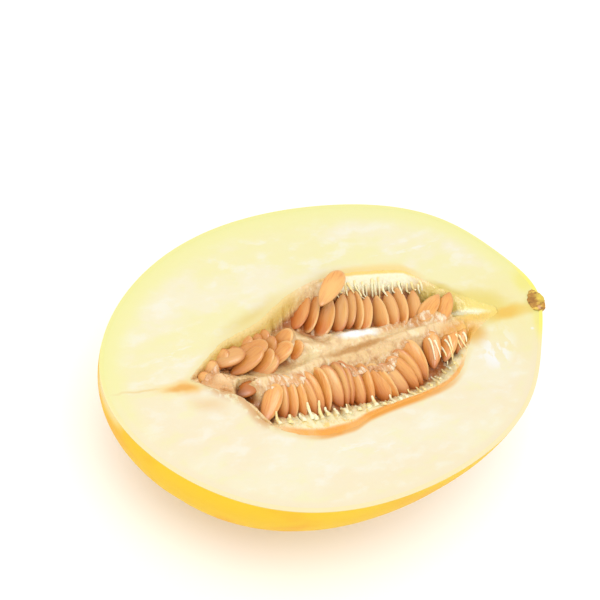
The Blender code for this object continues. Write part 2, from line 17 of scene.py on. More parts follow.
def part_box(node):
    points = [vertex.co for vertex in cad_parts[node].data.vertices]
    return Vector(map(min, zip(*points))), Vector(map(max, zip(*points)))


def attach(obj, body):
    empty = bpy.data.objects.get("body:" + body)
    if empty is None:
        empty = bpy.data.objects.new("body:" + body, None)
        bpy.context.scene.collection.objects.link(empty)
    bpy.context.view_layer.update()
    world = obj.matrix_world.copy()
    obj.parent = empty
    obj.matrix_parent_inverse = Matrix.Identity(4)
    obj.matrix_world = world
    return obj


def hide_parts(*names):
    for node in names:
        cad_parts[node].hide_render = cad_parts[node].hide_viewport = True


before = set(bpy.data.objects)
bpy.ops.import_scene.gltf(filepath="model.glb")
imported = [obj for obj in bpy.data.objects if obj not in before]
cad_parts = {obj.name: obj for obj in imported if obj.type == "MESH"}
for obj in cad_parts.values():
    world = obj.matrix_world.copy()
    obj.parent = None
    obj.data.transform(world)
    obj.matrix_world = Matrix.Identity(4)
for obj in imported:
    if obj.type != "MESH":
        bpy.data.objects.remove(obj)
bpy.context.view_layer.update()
CUT_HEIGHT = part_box("flesh")[1].z

bl_info = {
    "name": "Melon half",
    "version": (1, 0, 0),
    "blender": (4, 5, 0),
    "location": "3D View > Sidebar > Melon",
    "description": "Builds the halved melon piece by piece",
    "category": "Object",
}

MM = 0.001
MERGE_DISTANCE = 0.002 * MM

# The fruit, as in the model.
BLOSSOM_END = 71.7
STEM_END = 72.8
HALF_WIDTH = 52.4
WIDTH_SERIES = (-0.4, 2.7, 7.4)
DEPTH_SHARE = 1.15
BOW = 2.6
BOW_SKEW = 0.8
NECK_LENGTH = 5.5
NECK_WIDTH = 15.7
NECK_OFFSET = 4.6

# Rings of faces in the rind and the flesh. Across the cut face they are closer at both edges.
RIND_RINGS = 49
CUT_EDGE_RINGS = 5
FLESH_RINGS = 24
FACE_SHARES = np.concatenate(
    [np.linspace(0, 0.2, 8), np.linspace(0.2, 0.9, 26)[1:], np.linspace(0.9, 1, 6)[1:]]
)

# The skin's dents and ripples: their size, stretch, detail and depth. They fade out between two heights.
SKIN_WAVES = ((16, (0.4, 1, 1), 3, 0.35), (5, (0.3, 1, 1), 2, 0.06))
CALM_BELOW = (-58, -50)

# The crease at the blossom end, and the cavity's rounded lip.
CREASE_LINE = ((-72, 2.4), (-58, 0.6), (-50, -0.6), (-44, 0.4))
CREASE_ENDS = ((-73, -68), (-42, -46))
CREASE_HALF_WIDTH = 0.7
CREASE_DEPTH = 0.1
LIP_WIDTH = 1.6
LIP_DROP = 0.25

# Stands for the distance to an edge of the cut face where the flesh isn't on that face.
OUT_OF_REACH = 30.0

# The seed cavity's edges on the cut face and its depth along the fruit.
FAR_EDGE = (
    (-45, 1.6), (-38, 6.6), (-30.5, 11.2), (-17, 15.4), (-9.5, 19.6), (-1, 23.4), (7, 25.3), (16, 25.4),
    (26, 24.2), (36, 22.2), (40, 19), (46, 13.4), (54.5, 7.1), (63, 1.2),
)
NEAR_EDGE = (
    (-45, 1.6), (-38, -3.4), (-30.5, -8.9), (-28.5, -15), (-26.5, -18.6), (-16.5, -25), (-9, -26.8),
    (-0.5, -26.4), (6, -24.2), (15, -22.7), (26, -21.5), (35, -19.8), (41, -16.4), (46, -10.5),
    (50, -5.8), (54, -3.2), (63, 0.4),
)
CAVITY_DEPTH = (
    (-45, 1.4), (-42, 10), (-37, 16), (-28, 19), (-15, 22), (5, 25), (25, 24), (45, 14), (56, 7), (63, 1.4),
)
CAVITY_TIP = 0.6
CAVITY_ENDS = (FAR_EDGE[0][0] + CAVITY_TIP, FAR_EDGE[-1][0] - 2 * CAVITY_TIP)
CAVITY_MIDDLE = (CAVITY_ENDS[0] + CAVITY_ENDS[1]) / 2
CAVITY_REACH = (CAVITY_ENDS[1] - CAVITY_ENDS[0]) / 2

# The pulp: how deep its troughs lie, how high its ridges may rise, its gaps to the seeds and to the
# cavity's floor, and how finely it is built along and across the cavity.
PULP_LEVEL = -6.0
PULP_ROOF = -0.5
ROUGH_ABOVE_ROOF = 0.2
SEAT_GAP = 0.1
PULP_CLEARANCE = 0.3
LEAST_TOP = 0.97
PULP_STEPS = (341, 141)

# The pulp's ridges: x, y, half width and rise above the trough.
RIDGES = (
    (
        (-16, 9, 3, 0), (-7, 7, 5.0, 4.4), (-3, 5, 4.4, 5), (3, 2.4, 2.8, 5.2), (13, 2.0, 2.6, 5.2),
        (22, 0.6, 2.1, 5), (30, 0.6, 2.0, 4.8), (37, 0.8, 2.6, 4.6), (46, 0.6, 4.5, 5.4), (56, 1.0, 4, 5.4),
        (63, 0.8, 3, 5.4),
    ),
    (
        (-46, 1.6, 3, 5.4), (-36, -1.6, 3.6, 5.4), (-29, -3.0, 3.6, 5.4), (-20, -4.4, 4.8, 5.2),
        (-12, -4.4, 4.4, 4.8), (-4, -2, 3, 3.4), (4, 0, 2, 0),
    ),
    ((-30, -9, 3, 4.8), (-27, -13, 3, 4.2), (-22, -22, 3, 3.4), (-8, -26, 4.4, 4.4), (4, -24.6, 4.4, 4.4),
     (20, -22.4, 3.6, 4.2), (36, -18.6, 3.6, 4.2), (46, -10, 3, 4.0), (54, -3, 3, 4.4)),
    (
        (-14, -4, 3, 0), (-8, -4.4, 3, 2.8), (2, -3, 3, 3.2), (14, -3.6, 3, 3.4), (26, -3.4, 3, 3.4),
        (34, -1.5, 3, 3), (44, -1.5, 3, 2.6), (50, 0, 3, 0),
    ),
    ((1, 5.4, 2.4, 0), (7, 5.6, 2.3, 3.8), (18, 4.8, 2.1, 4.2), (28, 3.8, 1.8, 3.2), (34, 3, 1.5, 0)),
    ((6, 25.5, 3, 0), (14, 25.4, 3.0, 4), (30, 23.6, 3.0, 4), (42, 17, 3.5, 3), (50, 10, 3.5, 4.4)),
)
RIDGE_RUNOUT = 3

# The pulp's uneven surface: lumps, most of them beside the pocket, and finer folds.
LUMP_SIZE = 2.6
LUMPINESS = 0.35
POCKET_LUMPINESS = (-36, -2.5, 7, 4, 1.4)
FOLD_SIZE = 1.1
FOLD_RISE = 0.3

# The hollow beside the pocket and the lumps round it: x, y, half length, half width and rise.
HOLLOW = (-28.2, -5.3, 2.9, 2.6, -6.5)
LUMPS = ((-34.6, -4.6, 4.5, 3.2, 1.6), (-34.5, 1.2, 4.5, 2.4, 2.6))

# Seeds: where their seen ends are, how they head, fall and tip in degrees, and their share of the full
# length. In a row the line gives y and z at x, and all seeds fall alike.
NEAR_ROW = {
    "line": (
        (-26, -16.6, -4.2), (-18.5, -16.8, -5.2), (-12.5, -18.4, -5.2), (-6, -17.6, -5.2), (4, -17.2, -5.2),
        (8, -19.4, -5.4), (16, -20.1, -5.4), (24, -18.7, -5.2), (31, -15.2, -5), (35, -12, -4.6),
        (45, -9.5, -4.0),
    ),
    "seeds": (
        (-26, 55, 15, 0.9), (-18.9, 88, 45, 1.0), (-15.8, 90, 45, 1.0), (-12.6, 95, 52, 1.0),
        (-8.5, 105, 45, 1.0), (-6.3, 102, 38, 1.0), (-4, 92, 58, 1.0), (0.4, 101, 36, 1.0),
        (2.4, 93, 58, 1.0), (4, 92, 62, 1.0), (7.2, 97, 50, 1.0), (9.9, 91, 58, 1.0), (16, 106, 38, 1.0),
        (19.1, 116, 58, 1.0), (23.4, 127, 35, 1.0), (27.1, 124, 45, 1.0), (28.8, 118, 50, 1.0),
        (31, 106, 35, 1.0), (34.6, 77, 30, 0.85), (39, 62, 35, 0.8), (44.2, 71, 35, 0.8),
    ),
    "fall": -18,
}
FAR_ROW = {
    "line": (
        (4, 23.4, -3.6), (6.5, 22.2, -3.8), (11, 19, -3.6), (15, 20.2, -3.2), (18, 21, -3.2),
        (22, 17.6, -3.2), (26, 17, -3.2), (33, 18, -3.2), (38, 16, -3.0), (44.6, 10.8, 0.2),
        (48.4, 10.4, 0.4),
    ),
    "seeds": (
        (4, 232, 50, 0.97), (6.6, 238, 58, 0.97), (10.8, 234, 40, 0.97), (15, 243, 46, 0.97),
        (18, 246, 56, 0.97), (19.6, 251, 64, 0.97), (22.6, 240, 38, 0.97), (25.4, 260, 52, 0.97),
        (29.7, 257, 50, 0.97), (33.4, 257, 56, 0.97), (38.2, 250, 48, 0.97), (44.6, 218, 34, 0.82),
        (48.4, 228, 30, 0.8),
    ),
    "fall": 6,
}
POCKET = (
    (-38.6, 2.6, -0.2, 228, 34, 20, 0.34),
    (-34.7, 5.8, -0.6, 222, 34, 22, 0.45),
    (-29.8, 8.8, -0.6, 222, 36, 24, 0.55),
    (-26.3, 9.4, -1.4, 232, 40, 24, 0.55),
    (-24.8, 6.3, 0.2, 180, 22, 34, 0.8),
    (-20.5, 11.4, -1.2, 206, 32, 26, 0.65),
    (-19.1, 5.8, 0.8, 198, 28, 40, 0.9),
    (-17.6, 11.8, -1.4, 222, 38, 30, 0.65),
    (-16.7, 7.3, 0.0, 180, 20, 40, 0.8),
    (-16.0, 4.8, 0.2, 210, 38, 48, 0.85),
    (-14.5, 12.2, -1.4, 214, 36, 30, 0.65),
    (-15.0, 2.2, -0.2, 198, 35, 46, 0.8),
    (-13.6, 9.4, -0.6, 224, 40, 36, 0.75),
    (-9.3, 5.6, 0.4, 200, 32, 30, 0.85),
    (-7.7, 10.1, 0.2, 208, 40, 36, 0.85),
    (-5.6, 6.0, -0.8, 214, 45, 40, 0.6),
)
HOLLOW_SEED = (-23.6, -3.6, -3.3, 190, 16, 20, 0.56)
LOOSE_SEED = ((3.2, 14.6, 3.0), (14.4, 24.6, 3.9), 12)

# Chance in how the seeds turn, and then the shape of a seed.
JITTER_DEGREES = 2.0
JITTER_SEED = 3
SEED_TAPER = 0.22
SEED_POINT = 0.22
SEED_POINT_FROM = 0.45
SEED_ROUNDING = 0.85
SEED_PLUMPNESS = (0.85, 1.05)
SEED_BOW = 0.5
SEED_BOW_LEVEL = 0.4
SEED_BOW_REACH = 7
SEED_FACES = (24, 20)

# Films of pulp over the hidden ends of the rows, the hollow's seed and the pocket's tip: where they end,
# how soft and ragged their edges are, and how they lie on the seeds.
NEAR_FILM = (
    (-27, -7.9), (-22, -8.1), (-17, -8.4), (-12.4, -9.2), (-9.8, -8.4), (-8.2, -3.4), (-1, -3.0),
    (2, -4.4), (4.5, -8.0), (6.5, -10.6), (9, -10.8), (12.6, -9.8), (15.3, -11.4), (18.5, -11.6),
    (21.6, -9.6), (24.6, -4.8), (29, -3.2), (34, -2.8), (41, -3.6), (47, -4.0),
)
FAR_FILM = ((-4, 13.0), (2, 8.4), (10, 7.2), (18, 6.2), (27, 6.2), (35, 6.6), (40, 6.4), (43, 4.0), (52, 2.0))
NEAR_FILM_EDGE = (-0.4, 0.6)
FAR_FILM_EDGE = (0.4, -0.6)
HOLLOW_FILM = (-24.8, -24.0)
TIP_FILM = (-40, 1.2, 0.7)
TIP_FILM_EDGE = (0.4, -0.4)
TIP_FILM_END = (-33, -34)
FILM_TEARS = 1.6
FILM_RAGGEDNESS = 0.8
TIP_RAGGEDNESS = 0.6
FILM_MARGIN = 0.35
FILM_WIDENING = 1.2
FILM_ROOF = 0.7
FILM_ROUGHNESS = 0.2

# The pocket, where the rows have no film: its last x, and a place on its near side with the slope there.
POCKET_END = -3.5
POCKET_SIDE = (-20, -2.2, 0.12)

# The banks of pulp along the cavity's far and near edges: how wide they are at x, and how far they fall.
FAR_BANK = (
    (-45, 2.0), (-38, 3.0), (-30, 3.6), (-22, 4.6), (-13, 4.8), (-4, 4.4), (2, 4.6), (8, 5.4),
    (30, 5.4), (38, 5.0), (43, 5.6), (50, 6.4), (63, 3.0),
)
NEAR_BANK = (
    (-45, 1.5), (-30, 2.0), (-25, 3.0), (-20, 7.4), (-10, 8.6), (0, 7.2), (8, 5.2), (16, 3.8),
    (26, 3.6), (34, 4.2), (41, 5.0), (46, 4.0), (50, 3.0), (63, 3.0),
)
BANK_TOP = -0.25
UNDER_BANK = -0.025
EDGE_OVERLAP = 0.15
BANK_FALL = 4.0
BANK_FALL_AT_STEM = 0.12
BANK_FALL_FADE = (58, 46)
BANK_ROUNDING = 1.6
BANK_ROUGHNESS = 0.3
FINGERS = 1.3
FINGER_DEPTH = 0.3

# Strands of pulp. Each bunch: first x, last x, how many, the lines of y where they start and end,
# and their radius at the root.
STRAND_BUNCHES = (
    (-22, 12, 15, ((-22, -19.4), (-10, -19.6), (12, -21.6)), ((-22, -16.0), (-10, -15.8), (12, -18.2)), 0.8),
    (14, 41, 13, ((14, -21.2), (26, -20.4), (34, -17.6), (41, -13.0)),
     ((14, -19.0), (26, -17.6), (34, -14.6), (41, -10.6)), 0.55),
    (12, 41, 21, ((12, 22.6), (24, 21.8), (41, 17.0)),
     ((12, 20.6), (17, 19.4), (21, 17.4), (33, 15.8), (41, 15.4)), 0.5),
    (36, 47, 8, ((36, -3.4), (40, -4.0), (47, -4.4)), ((36, -9.6), (40, -11.0), (47, -8.4)), 0.42),
)
STRAND_SEED = 11
STRAND_POINTS = 8
START_SPREAD = 0.8
END_SPREAD = 1.4
STRAND_SCATTER = 0.45
STRAND_LEAN = 0.14
STRAND_WAVES = 5
STRAND_SWAY = 0.12
STRAND_SMOOTHING = 4
STRAND_PLUMPNESS = (0.8, 1.2)
STRAND_TAPER = 0.55
STRAND_ROOT_DEPTH = 0.4
STRAND_ROOF = 0.9

# The stem's stub: its ribs, its knobs and the torn fibres of its cut side. Each layer of noise has a
# frequency and a height.
STEM_RIBS = 5
RIB_RISE = 0.1
KNOBS = ((1.8, 0.16), (5, 0.1))
KNOB_ROOF = 1.12
TORN_FIBRES = ((4, 0.5), (11, 0.3))
STEM_CROWN = 0.5
STEM_REACH = 1.1
STEM_FACES = (64, 40)

# The camera's axes, its distance and shift in millimetres, and its lens.
CAMERA_BACK = Vector((-0.3729, -0.4069, 0.8339))
CAMERA_RIGHT = Vector((0.9059, -0.3539, 0.2324))
CAMERA_UP = Vector((0.2006, 0.8421, 0.5006))
CAMERA_DISTANCE = 620
CAMERA_SHIFT = (-6.9, 14.05)
CAMERA_AIM_Y = 2.6
FOCAL_PIXELS = 1996
PHOTO_PIXELS = 600
SENSOR_WIDTH = 36

# The stage. Each lamp: name, how far right, up and back from the melon it is in the camera's axes, in
# metres, and its size and power.
FLOOR_SIZE = 6
FLOOR_COLOUR = (0.95, 0.95, 0.95, 1)
LAMPS = (("key_light", (0.05, 0.3, 0.9), 0.45, 2.9), ("fill_light", (0.45, -0.2, 0.7), 0.8, 0.35))
SKY_COLOUR = (1, 0.995, 0.985, 1)
SKY_STRENGTH = 1.1


def paint(red, green, blue):
    """A display colour, 0 to 255 a channel, as the linear colour that shaders take."""
    linear = []
    for value in (red, green, blue):
        value /= 255
        linear.append(value / 12.92 if value <= 0.04045 else ((value + 0.055) / 1.055) ** 2.4)
    return (*linear, 1.0)


def colour_property(name, words, red, green, blue):
    return FloatVectorProperty(
        name=name, description=words, subtype="COLOR", size=4, min=0, max=1, default=paint(red, green, blue)
    )


def length_property(name, words, millimetres, **limits):
    return FloatProperty(name=name, description=words, default=millimetres * MM, unit="LENGTH", **limits)


class MelonSizes(bpy.types.PropertyGroup):
    """Sizes that the pieces are built to"""

    rind: length_property("Rind", "Thickness of the rind", 1.4, min=0.5 * MM)
    seed_length: length_property("Seed length", "Length of a full-grown seed", 14.5)
    seed_width: length_property("Seed width", "Width of a full-grown seed", 6.3)
    seed_thickness: length_property("Seed thickness", "Thickness of a seed", 2.0)
    around: IntProperty(
        name="Steps around", description="Faces round the fruit's edge", default=256, min=32, max=512
    )


class MelonColours(bpy.types.PropertyGroup):
    """Tones of the fruit, which the materials call by name"""

    skin: colour_property("Skin", "Ripe yellow of the skin", 255, 206, 4)
    skin_deep: colour_property("Skin, deep", "Orange yellow of the skin's riper patches", 253, 186, 2)
    skin_pale: colour_property("Skin, pale", "Lemon yellow near the cut", 255, 220, 40)
    under_skin: colour_property("Under the skin", "Pale lemon layer under the skin", 250, 246, 168)
    flesh: colour_property("Flesh", "Cream of the flesh", 253, 244, 212)
    flesh_green: colour_property("Flesh, green", "Greenish cream towards the rind", 251, 246, 174)
    flesh_pink: colour_property("Flesh, pink", "Warm cream of the nearer half", 253, 238, 202)
    lining: colour_property("Lining", "Orange lining of the seed cavity", 248, 166, 50)
    ochre: colour_property("Ochre", "Clear wet ochre of the cavity's far wall", 226, 188, 92)
    pulp: colour_property("Pulp", "Tan of the pulp", 244, 208, 148)
    # Pulp, deep: the pulp's own orange brown in its strands, and painted shade where the pulp lies low in its
    # troughs.
    pulp_deep_and_shade: colour_property("Pulp, deep", "Orange brown of the pulp's troughs", 180, 104, 44)
    fibre: colour_property("Fibre", "Ivory of the fibres", 255, 243, 204)
    seed: colour_property("Seed", "Orange tan of the seeds", 255, 184, 92)
    # Seed, deep: the seeds' own reddish brown in streaks and at their tips, and painted shade on seeds that
    # lie deep below the cut face.
    seed_deep_and_shade: colour_property("Seed, deep", "Reddish brown of the seeds' tips", 222, 114, 40)
    seed_rim: colour_property("Seed rim", "Pale edge of the seeds", 254, 216, 146)
    stem: colour_property("Stem", "Brown of the dry stem", 172, 122, 52)
    stem_pale: colour_property("Stem, pale", "Ochre of the stem's torn fibres", 226, 190, 84)


def smooth_through(points, at):
    """Values at places along a smooth curve through (place, value) points, with no overshoot."""
    places, values = (np.array(column, float) for column in zip(*points))
    at = np.clip(np.asarray(at, float), places[0], places[-1])
    widths = np.diff(places)
    slopes = np.diff(values) / widths
    bends = np.empty(len(places))
    bends[0], bends[-1] = slopes[0], slopes[-1]
    product = slopes[:-1] * slopes[1:]
    total = np.where(product > 0, slopes[:-1] + slopes[1:], 1)
    bends[1:-1] = np.where(product > 0, 2 * product / total, 0)
    part = np.clip(np.searchsorted(places, at, side="right") - 1, 0, len(widths) - 1)
    width = widths[part]
    share = (at - places[part]) / width
    start = (1 + 2 * share) * (1 - share) ** 2 * values[part] + share * (1 - share) ** 2 * width * bends[part]
    end = share**2 * (3 - 2 * share) * values[part + 1] + share**2 * (share - 1) * width * bends[part + 1]
    return start + end


def fade(low, high, value):
    """0 below low, 1 above high and smooth between."""
    share = np.clip((value - low) / (high - low), 0, 1)
    return share * share * (3 - 2 * share)


def fruit_points(around, down, inset):
    """Points of the fruit's skin, in millimetres: round its cut edge and down towards its underside."""
    turn = np.where(around <= math.pi, around, 2 * math.pi - around)
    side = np.where(around <= math.pi, 1.0, -1.0)
    along, across = np.cos(turn), np.sin(turn)
    length = np.where(along > 0, STEM_END, BLOSSOM_END) - inset
    series = sum(part * along ** (power + 1) for power, part in enumerate(WIDTH_SERIES))
    half = across * (HALF_WIDTH - inset + series)
    middle = BOW - across**2 * (BOW - BOW_SKEW * along)
    y = middle + side * half * np.cos(down)
    z = -DEPTH_SHARE * half * np.sin(down)
    reach = ((y - NECK_OFFSET) ** 2 + z**2) / NECK_WIDTH**2
    x = length * along + np.where(along > 0, NECK_LENGTH * np.exp(-reach), 0)
    return np.stack([x, y, np.maximum(z, -CUT_HEIGHT / MM)], axis=-1)


def cavity_points(around, down):
    """Points of the seed cavity's wall: round its edge, and down to its floor."""
    x = CAVITY_MIDDLE + np.cos(around) * CAVITY_REACH + 0 * down
    far, near = smooth_through(FAR_EDGE, x), smooth_through(NEAR_EDGE, x)
    side = np.where((around <= math.pi) | (around > 2 * math.pi - 1e-6), 1.0, -1.0)
    y = (far + near) / 2 + side * (far - near) / 2 * np.cos(down)
    return np.stack([x, y, -smooth_through(CAVITY_DEPTH, x) * np.sin(down)], axis=-1)


def bump(x, y, centre_x, centre_y, half_length, half_width, rise):
    """A rounded rise over (x, y), or a dip where the rise is below 0."""
    return rise * np.exp(-(((x - centre_x) / half_length) ** 2) - ((y - centre_y) / half_width) ** 2)


def along_line(line, x, *parts):
    """Some parts of a line's spots, carried smoothly to x. The first part of each spot is its x."""
    return [smooth_through([(spot[0], spot[part]) for spot in line], x) for part in parts]


def pulp_top(x, y):
    """How high the pulp would stand with no seeds in it, from the cut face."""
    height = np.full(np.shape(x), PULP_LEVEL)
    for line in RIDGES:
        centre, half_width, rise = along_line(line, x, 1, 2, 3)
        beyond = np.maximum(np.maximum(line[0][0] - x, x - line[-1][0]), 0)
        height = height + bump(x, y, x, centre, 1, half_width, rise) * np.exp(-((beyond / RIDGE_RUNOUT) ** 2))
    return np.minimum(height, PULP_ROOF) + bump(x, y, *HOLLOW)


def seed_axes(heading, fall, tilt):
    """The directions of a seed's length, width and face."""
    turn, drop, tip = (math.radians(value) for value in (heading, fall, tilt))
    length = Vector((math.cos(turn) * math.cos(drop), math.sin(turn) * math.cos(drop), -math.sin(drop)))
    face = Vector((-math.sin(tip), 0, math.cos(tip)))
    face = (face - face.dot(length) * length).normalized()
    return length, face.cross(length), face


def row_places(row):
    """The places of a row's seeds, with y and z from the row's line."""
    for x, heading, tilt, share in row["seeds"]:
        y, z = (float(value) for value in along_line(row["line"], x, 1, 2))
        yield x, y, z, heading, row["fall"], tilt, share


def seed_places():
    """Where the seeds of each group are, with a little chance in how they turn."""
    draw = random.Random(JITTER_SEED)
    groups = {
        "seeds_near_row": row_places(NEAR_ROW), "seeds_far_row": row_places(FAR_ROW), "seeds_pocket": POCKET,
    }
    turned = {}
    for name, places in groups.items():
        turned[name] = []
        for x, y, z, heading, fall, tilt, share in places:
            heading += draw.uniform(-JITTER_DEGREES, JITTER_DEGREES)
            tilt += draw.uniform(-JITTER_DEGREES, JITTER_DEGREES)
            turned[name].append((x, y, z, heading, fall, tilt, share))
    return turned


def seed_surface(x, y, place, sizes, side, margin):
    """The height of a seed's under (-1) or upper (1) side over (x, y), and where it has one."""
    end_x, end_y, end_z, heading, fall, tilt, share = place
    long, wide, thick = sizes
    axes = [np.array(axis) for axis in seed_axes(heading, fall, tilt)]
    middle = np.array((end_x, end_y, end_z)) + axes[0] * long * share / 2
    halves = (long * share / 2 + margin, wide * (1 + share) / 4 + margin, thick / 2 + margin)
    offset = (x - middle[0], y - middle[1])
    square = sum((axis[2] / half) ** 2 for axis, half in zip(axes, halves))
    dots = [axis[0] * offset[0] + axis[1] * offset[1] for axis in axes]
    mixed = sum(axis[2] * dot / half**2 for axis, dot, half in zip(axes, dots, halves))
    rest = sum((dot / half) ** 2 for dot, half in zip(dots, halves)) - 1
    inside = mixed**2 - square * rest
    return middle[2] + (-mixed + side * np.sqrt(np.maximum(inside, 0))) / square, inside > 0


def seed_sizes():
    """A full seed's length, width and thickness, in millimetres."""
    sizes = bpy.context.scene.melon_sizes
    return sizes.seed_length / MM, sizes.seed_width / MM, sizes.seed_thickness / MM


def every_seed():
    """The places of all seeds that grow in the pulp, so without the loose one."""
    return [*[place for places in seed_places().values() for place in places], HOLLOW_SEED]


def pulp_surface(x, y):
    """The pulp's top, and how much of it is film over a seed."""
    rough = pulp_roughness(x, y)
    lumps = sum(bump(x, y, *lump) for lump in LUMPS)
    open_top = np.minimum(pulp_top(x, y) + rough + lumps, PULP_ROOF + ROUGH_ABOVE_ROOF)
    height = open_top
    for place in every_seed():
        under, over_seed = seed_surface(x, y, place, seed_sizes(), -1, SEAT_GAP)
        height = np.where(over_seed, np.minimum(height, under), height)
    places = seed_places()
    ragged = noise_at(x, y, FILM_TEARS) * FILM_RAGGEDNESS
    beside_pocket = np.where((x < POCKET_END) & (y > slanting(POCKET_SIDE, x)), 0.0, 1.0)
    past_tip_line = y - slanting(TIP_FILM, x) + ragged * TIP_RAGGEDNESS
    near_film = fade(*NEAR_FILM_EDGE, y - smooth_through(NEAR_FILM, x) + ragged)
    far_film = fade(*FAR_FILM_EDGE, y - smooth_through(FAR_FILM, x) + ragged)
    films = (
        (places["seeds_near_row"], beside_pocket * near_film),
        (places["seeds_far_row"], beside_pocket * far_film),
        ([HOLLOW_SEED], fade(*HOLLOW_FILM, x + ragged)),
        (POCKET[:2], fade(*TIP_FILM_EDGE, past_tip_line) * fade(*TIP_FILM_END, x)),
    )
    film = np.zeros(np.shape(height))
    for covered, share in films:
        cover, over = film_cover(x, y, covered, open_top)
        height = height * (1 - share) + np.maximum(cover + rough * FILM_ROUGHNESS, height) * share
        film = np.maximum(film, share * over)
    return np.maximum(height, bank_height(x, y)[0] + rough * BANK_ROUGHNESS), film


def slanting(line, x):
    """The y at x of a straight line given by a place on it and its slope."""
    start_x, start_y, slope = line
    return start_y + slope * (x - start_x)


def film_cover(x, y, places, open_top):
    """The height of a film drawn over seeds, and where it lies on one."""
    long, wide, thick = seed_sizes()
    cover, over = open_top, np.zeros(np.shape(open_top))
    for place in places:
        upper, over_seed = seed_surface(x, y, place, (long, wide * FILM_WIDENING, thick), 1, FILM_MARGIN)
        cover = np.where(over_seed, np.maximum(cover, upper), cover)
        over = np.where(over_seed, 1.0, over)
    return np.minimum(soften(cover, 2), FILM_ROOF), soften(over, 2)


def bank_height(x, y):
    """The height of the banks along the cavity's edges, and how far down the far and the near one this is."""
    fall = BANK_FALL * (BANK_FALL_AT_STEM + (1 - BANK_FALL_AT_STEM) * fade(*BANK_FALL_FADE, x))
    comb = noise_at(x, y, FINGERS, (1.0, 0.12))
    heights, shares = [], []
    for edge, bank, inwards in ((FAR_EDGE, FAR_BANK, -1), (NEAR_EDGE, NEAR_BANK, 1)):
        share = np.maximum((y - smooth_through(edge, x)) * inwards, 0) / smooth_through(bank, x)
        fingered = share * (1 + FINGER_DEPTH * comb * np.minimum(share, 1))
        heights.append(BANK_TOP - fall * fingered**BANK_ROUNDING)
        shares.append(share)
    return np.maximum(*heights), shares


def soften(heights, rounds):
    """Averages neighbouring heights of a grid, as a wet film would."""
    if heights.ndim < 2 or min(heights.shape) < 3:
        return heights
    for _ in range(rounds):
        padded = np.pad(heights, 1, mode="edge")
        rows, columns = heights.shape
        heights = sum(padded[i : i + rows, j : j + columns] for i in range(3) for j in range(3)) / 9
    return heights


def grain(points, size, stretch=(1, 1, 1), depth=3):
    """Smooth noise from about -1 to 1 at each point, with grains of size millimetres."""
    flat = points.reshape(-1, 3) * np.array(stretch) / size
    values = [noise.fractal(Vector(point), 0.9, 2.0, depth) for point in flat]
    return np.array(values).reshape(points.shape[:-1])


def noise_at(x, y, size, stretch=(1, 1)):
    """The same noise over the cut face."""
    return grain(np.stack([x, y, np.full(np.shape(x), size / 2)], axis=-1), size, (*stretch, 1))


def layered_noise(place, layers):
    """Noise at one place, added up from layers of a frequency and a height."""
    return sum(height * noise.noise(place * frequency) for frequency, height in layers)


def pulp_roughness(x, y):
    """Lumps and fine folds of the pulp, coarser in the pocket's near side."""
    lumps = noise_at(x, y, LUMP_SIZE) * (LUMPINESS + bump(x, y, *POCKET_LUMPINESS))
    return lumps + noise_at(x, y, FOLD_SIZE, (1.0, 0.35)) * FOLD_RISE


def cover_height(x, y, margin):
    """The top of whatever lies at (x, y): pulp, or a seed with some margin."""
    height = pulp_surface(x, y)[0]
    for place in every_seed():
        upper, over_seed = seed_surface(x, y, place, seed_sizes(), 1, margin)
        height = np.where(over_seed, np.maximum(height, upper), height)
    return height


def select_only(*pieces):
    """Leaves edit mode and selects some pieces, the first as the active one, or none."""
    if bpy.context.object and bpy.context.object.mode != "OBJECT":
        bpy.ops.object.mode_set(mode="OBJECT")
    bpy.ops.object.select_all(action="DESELECT")
    for piece in pieces:
        piece.select_set(True)
    if pieces:
        bpy.context.view_layer.objects.active = pieces[0]


def lying_ball(name, segments, rings):
    """A ball of radius 1 at the origin, with its poles on the x axis."""
    select_only()
    bpy.ops.mesh.primitive_uv_sphere_add(
        segments=segments, ring_count=rings, radius=1, rotation=(0, math.pi / 2, 0)
    )
    piece = bpy.context.object
    piece.name = piece.data.name = name
    bpy.ops.object.transform_apply(location=False, rotation=True, scale=False)
    return piece


def vertex_places(piece):
    """The places of a piece's vertices, one row each."""
    flat = np.empty(len(piece.data.vertices) * 3)
    piece.data.vertices.foreach_get("co", flat)
    return flat.reshape(-1, 3)


def face_outwards():
    """Turns all faces of the piece in edit mode outwards, and leaves that mode."""
    bpy.ops.mesh.select_all(action="SELECT")
    bpy.ops.mesh.normals_make_consistent(inside=False)
    bpy.ops.object.mode_set(mode="OBJECT")


def place_vertices(piece, points):
    """Moves a piece's vertices to points given in millimetres from the cut face."""
    placed = np.asarray(points, float).reshape(-1, 3) * MM
    placed[:, 2] += CUT_HEIGHT
    piece.data.vertices.foreach_set("co", placed.ravel())
    piece.data.update()


def keep_numbers(piece, name, values):
    """Stores one number for each vertex, for the material to read."""
    kept = piece.data.attributes.new(name, "FLOAT", "POINT")
    kept.data.foreach_set("value", np.asarray(values, np.float32).ravel())


def rolled_grid(name, points, **numbers):
    """A grid laid through rows of points, with its seams and poles merged to a closed skin."""
    select_only()
    rows, columns = points.shape[:2]
    bpy.ops.mesh.primitive_grid_add(x_subdivisions=columns - 1, y_subdivisions=rows - 1, size=2)
    piece = bpy.context.object
    piece.name = piece.data.name = name
    flat = vertex_places(piece)
    column = np.rint((flat[:, 0] + 1) / 2 * (columns - 1)).astype(int)
    row = np.rint((flat[:, 1] + 1) / 2 * (rows - 1)).astype(int)
    place_vertices(piece, points[row, column])
    for label, values in numbers.items():
        keep_numbers(piece, label, np.broadcast_to(values, (rows, columns))[row, column])
    while piece.data.uv_layers:
        piece.data.uv_layers.remove(piece.data.uv_layers[0])
    bpy.ops.object.mode_set(mode="EDIT")
    bpy.ops.mesh.select_all(action="SELECT")
    bpy.ops.mesh.remove_doubles(threshold=MERGE_DISTANCE)
    bpy.ops.mesh.dissolve_degenerate(threshold=MERGE_DISTANCE / 2)
    face_outwards()
    return piece


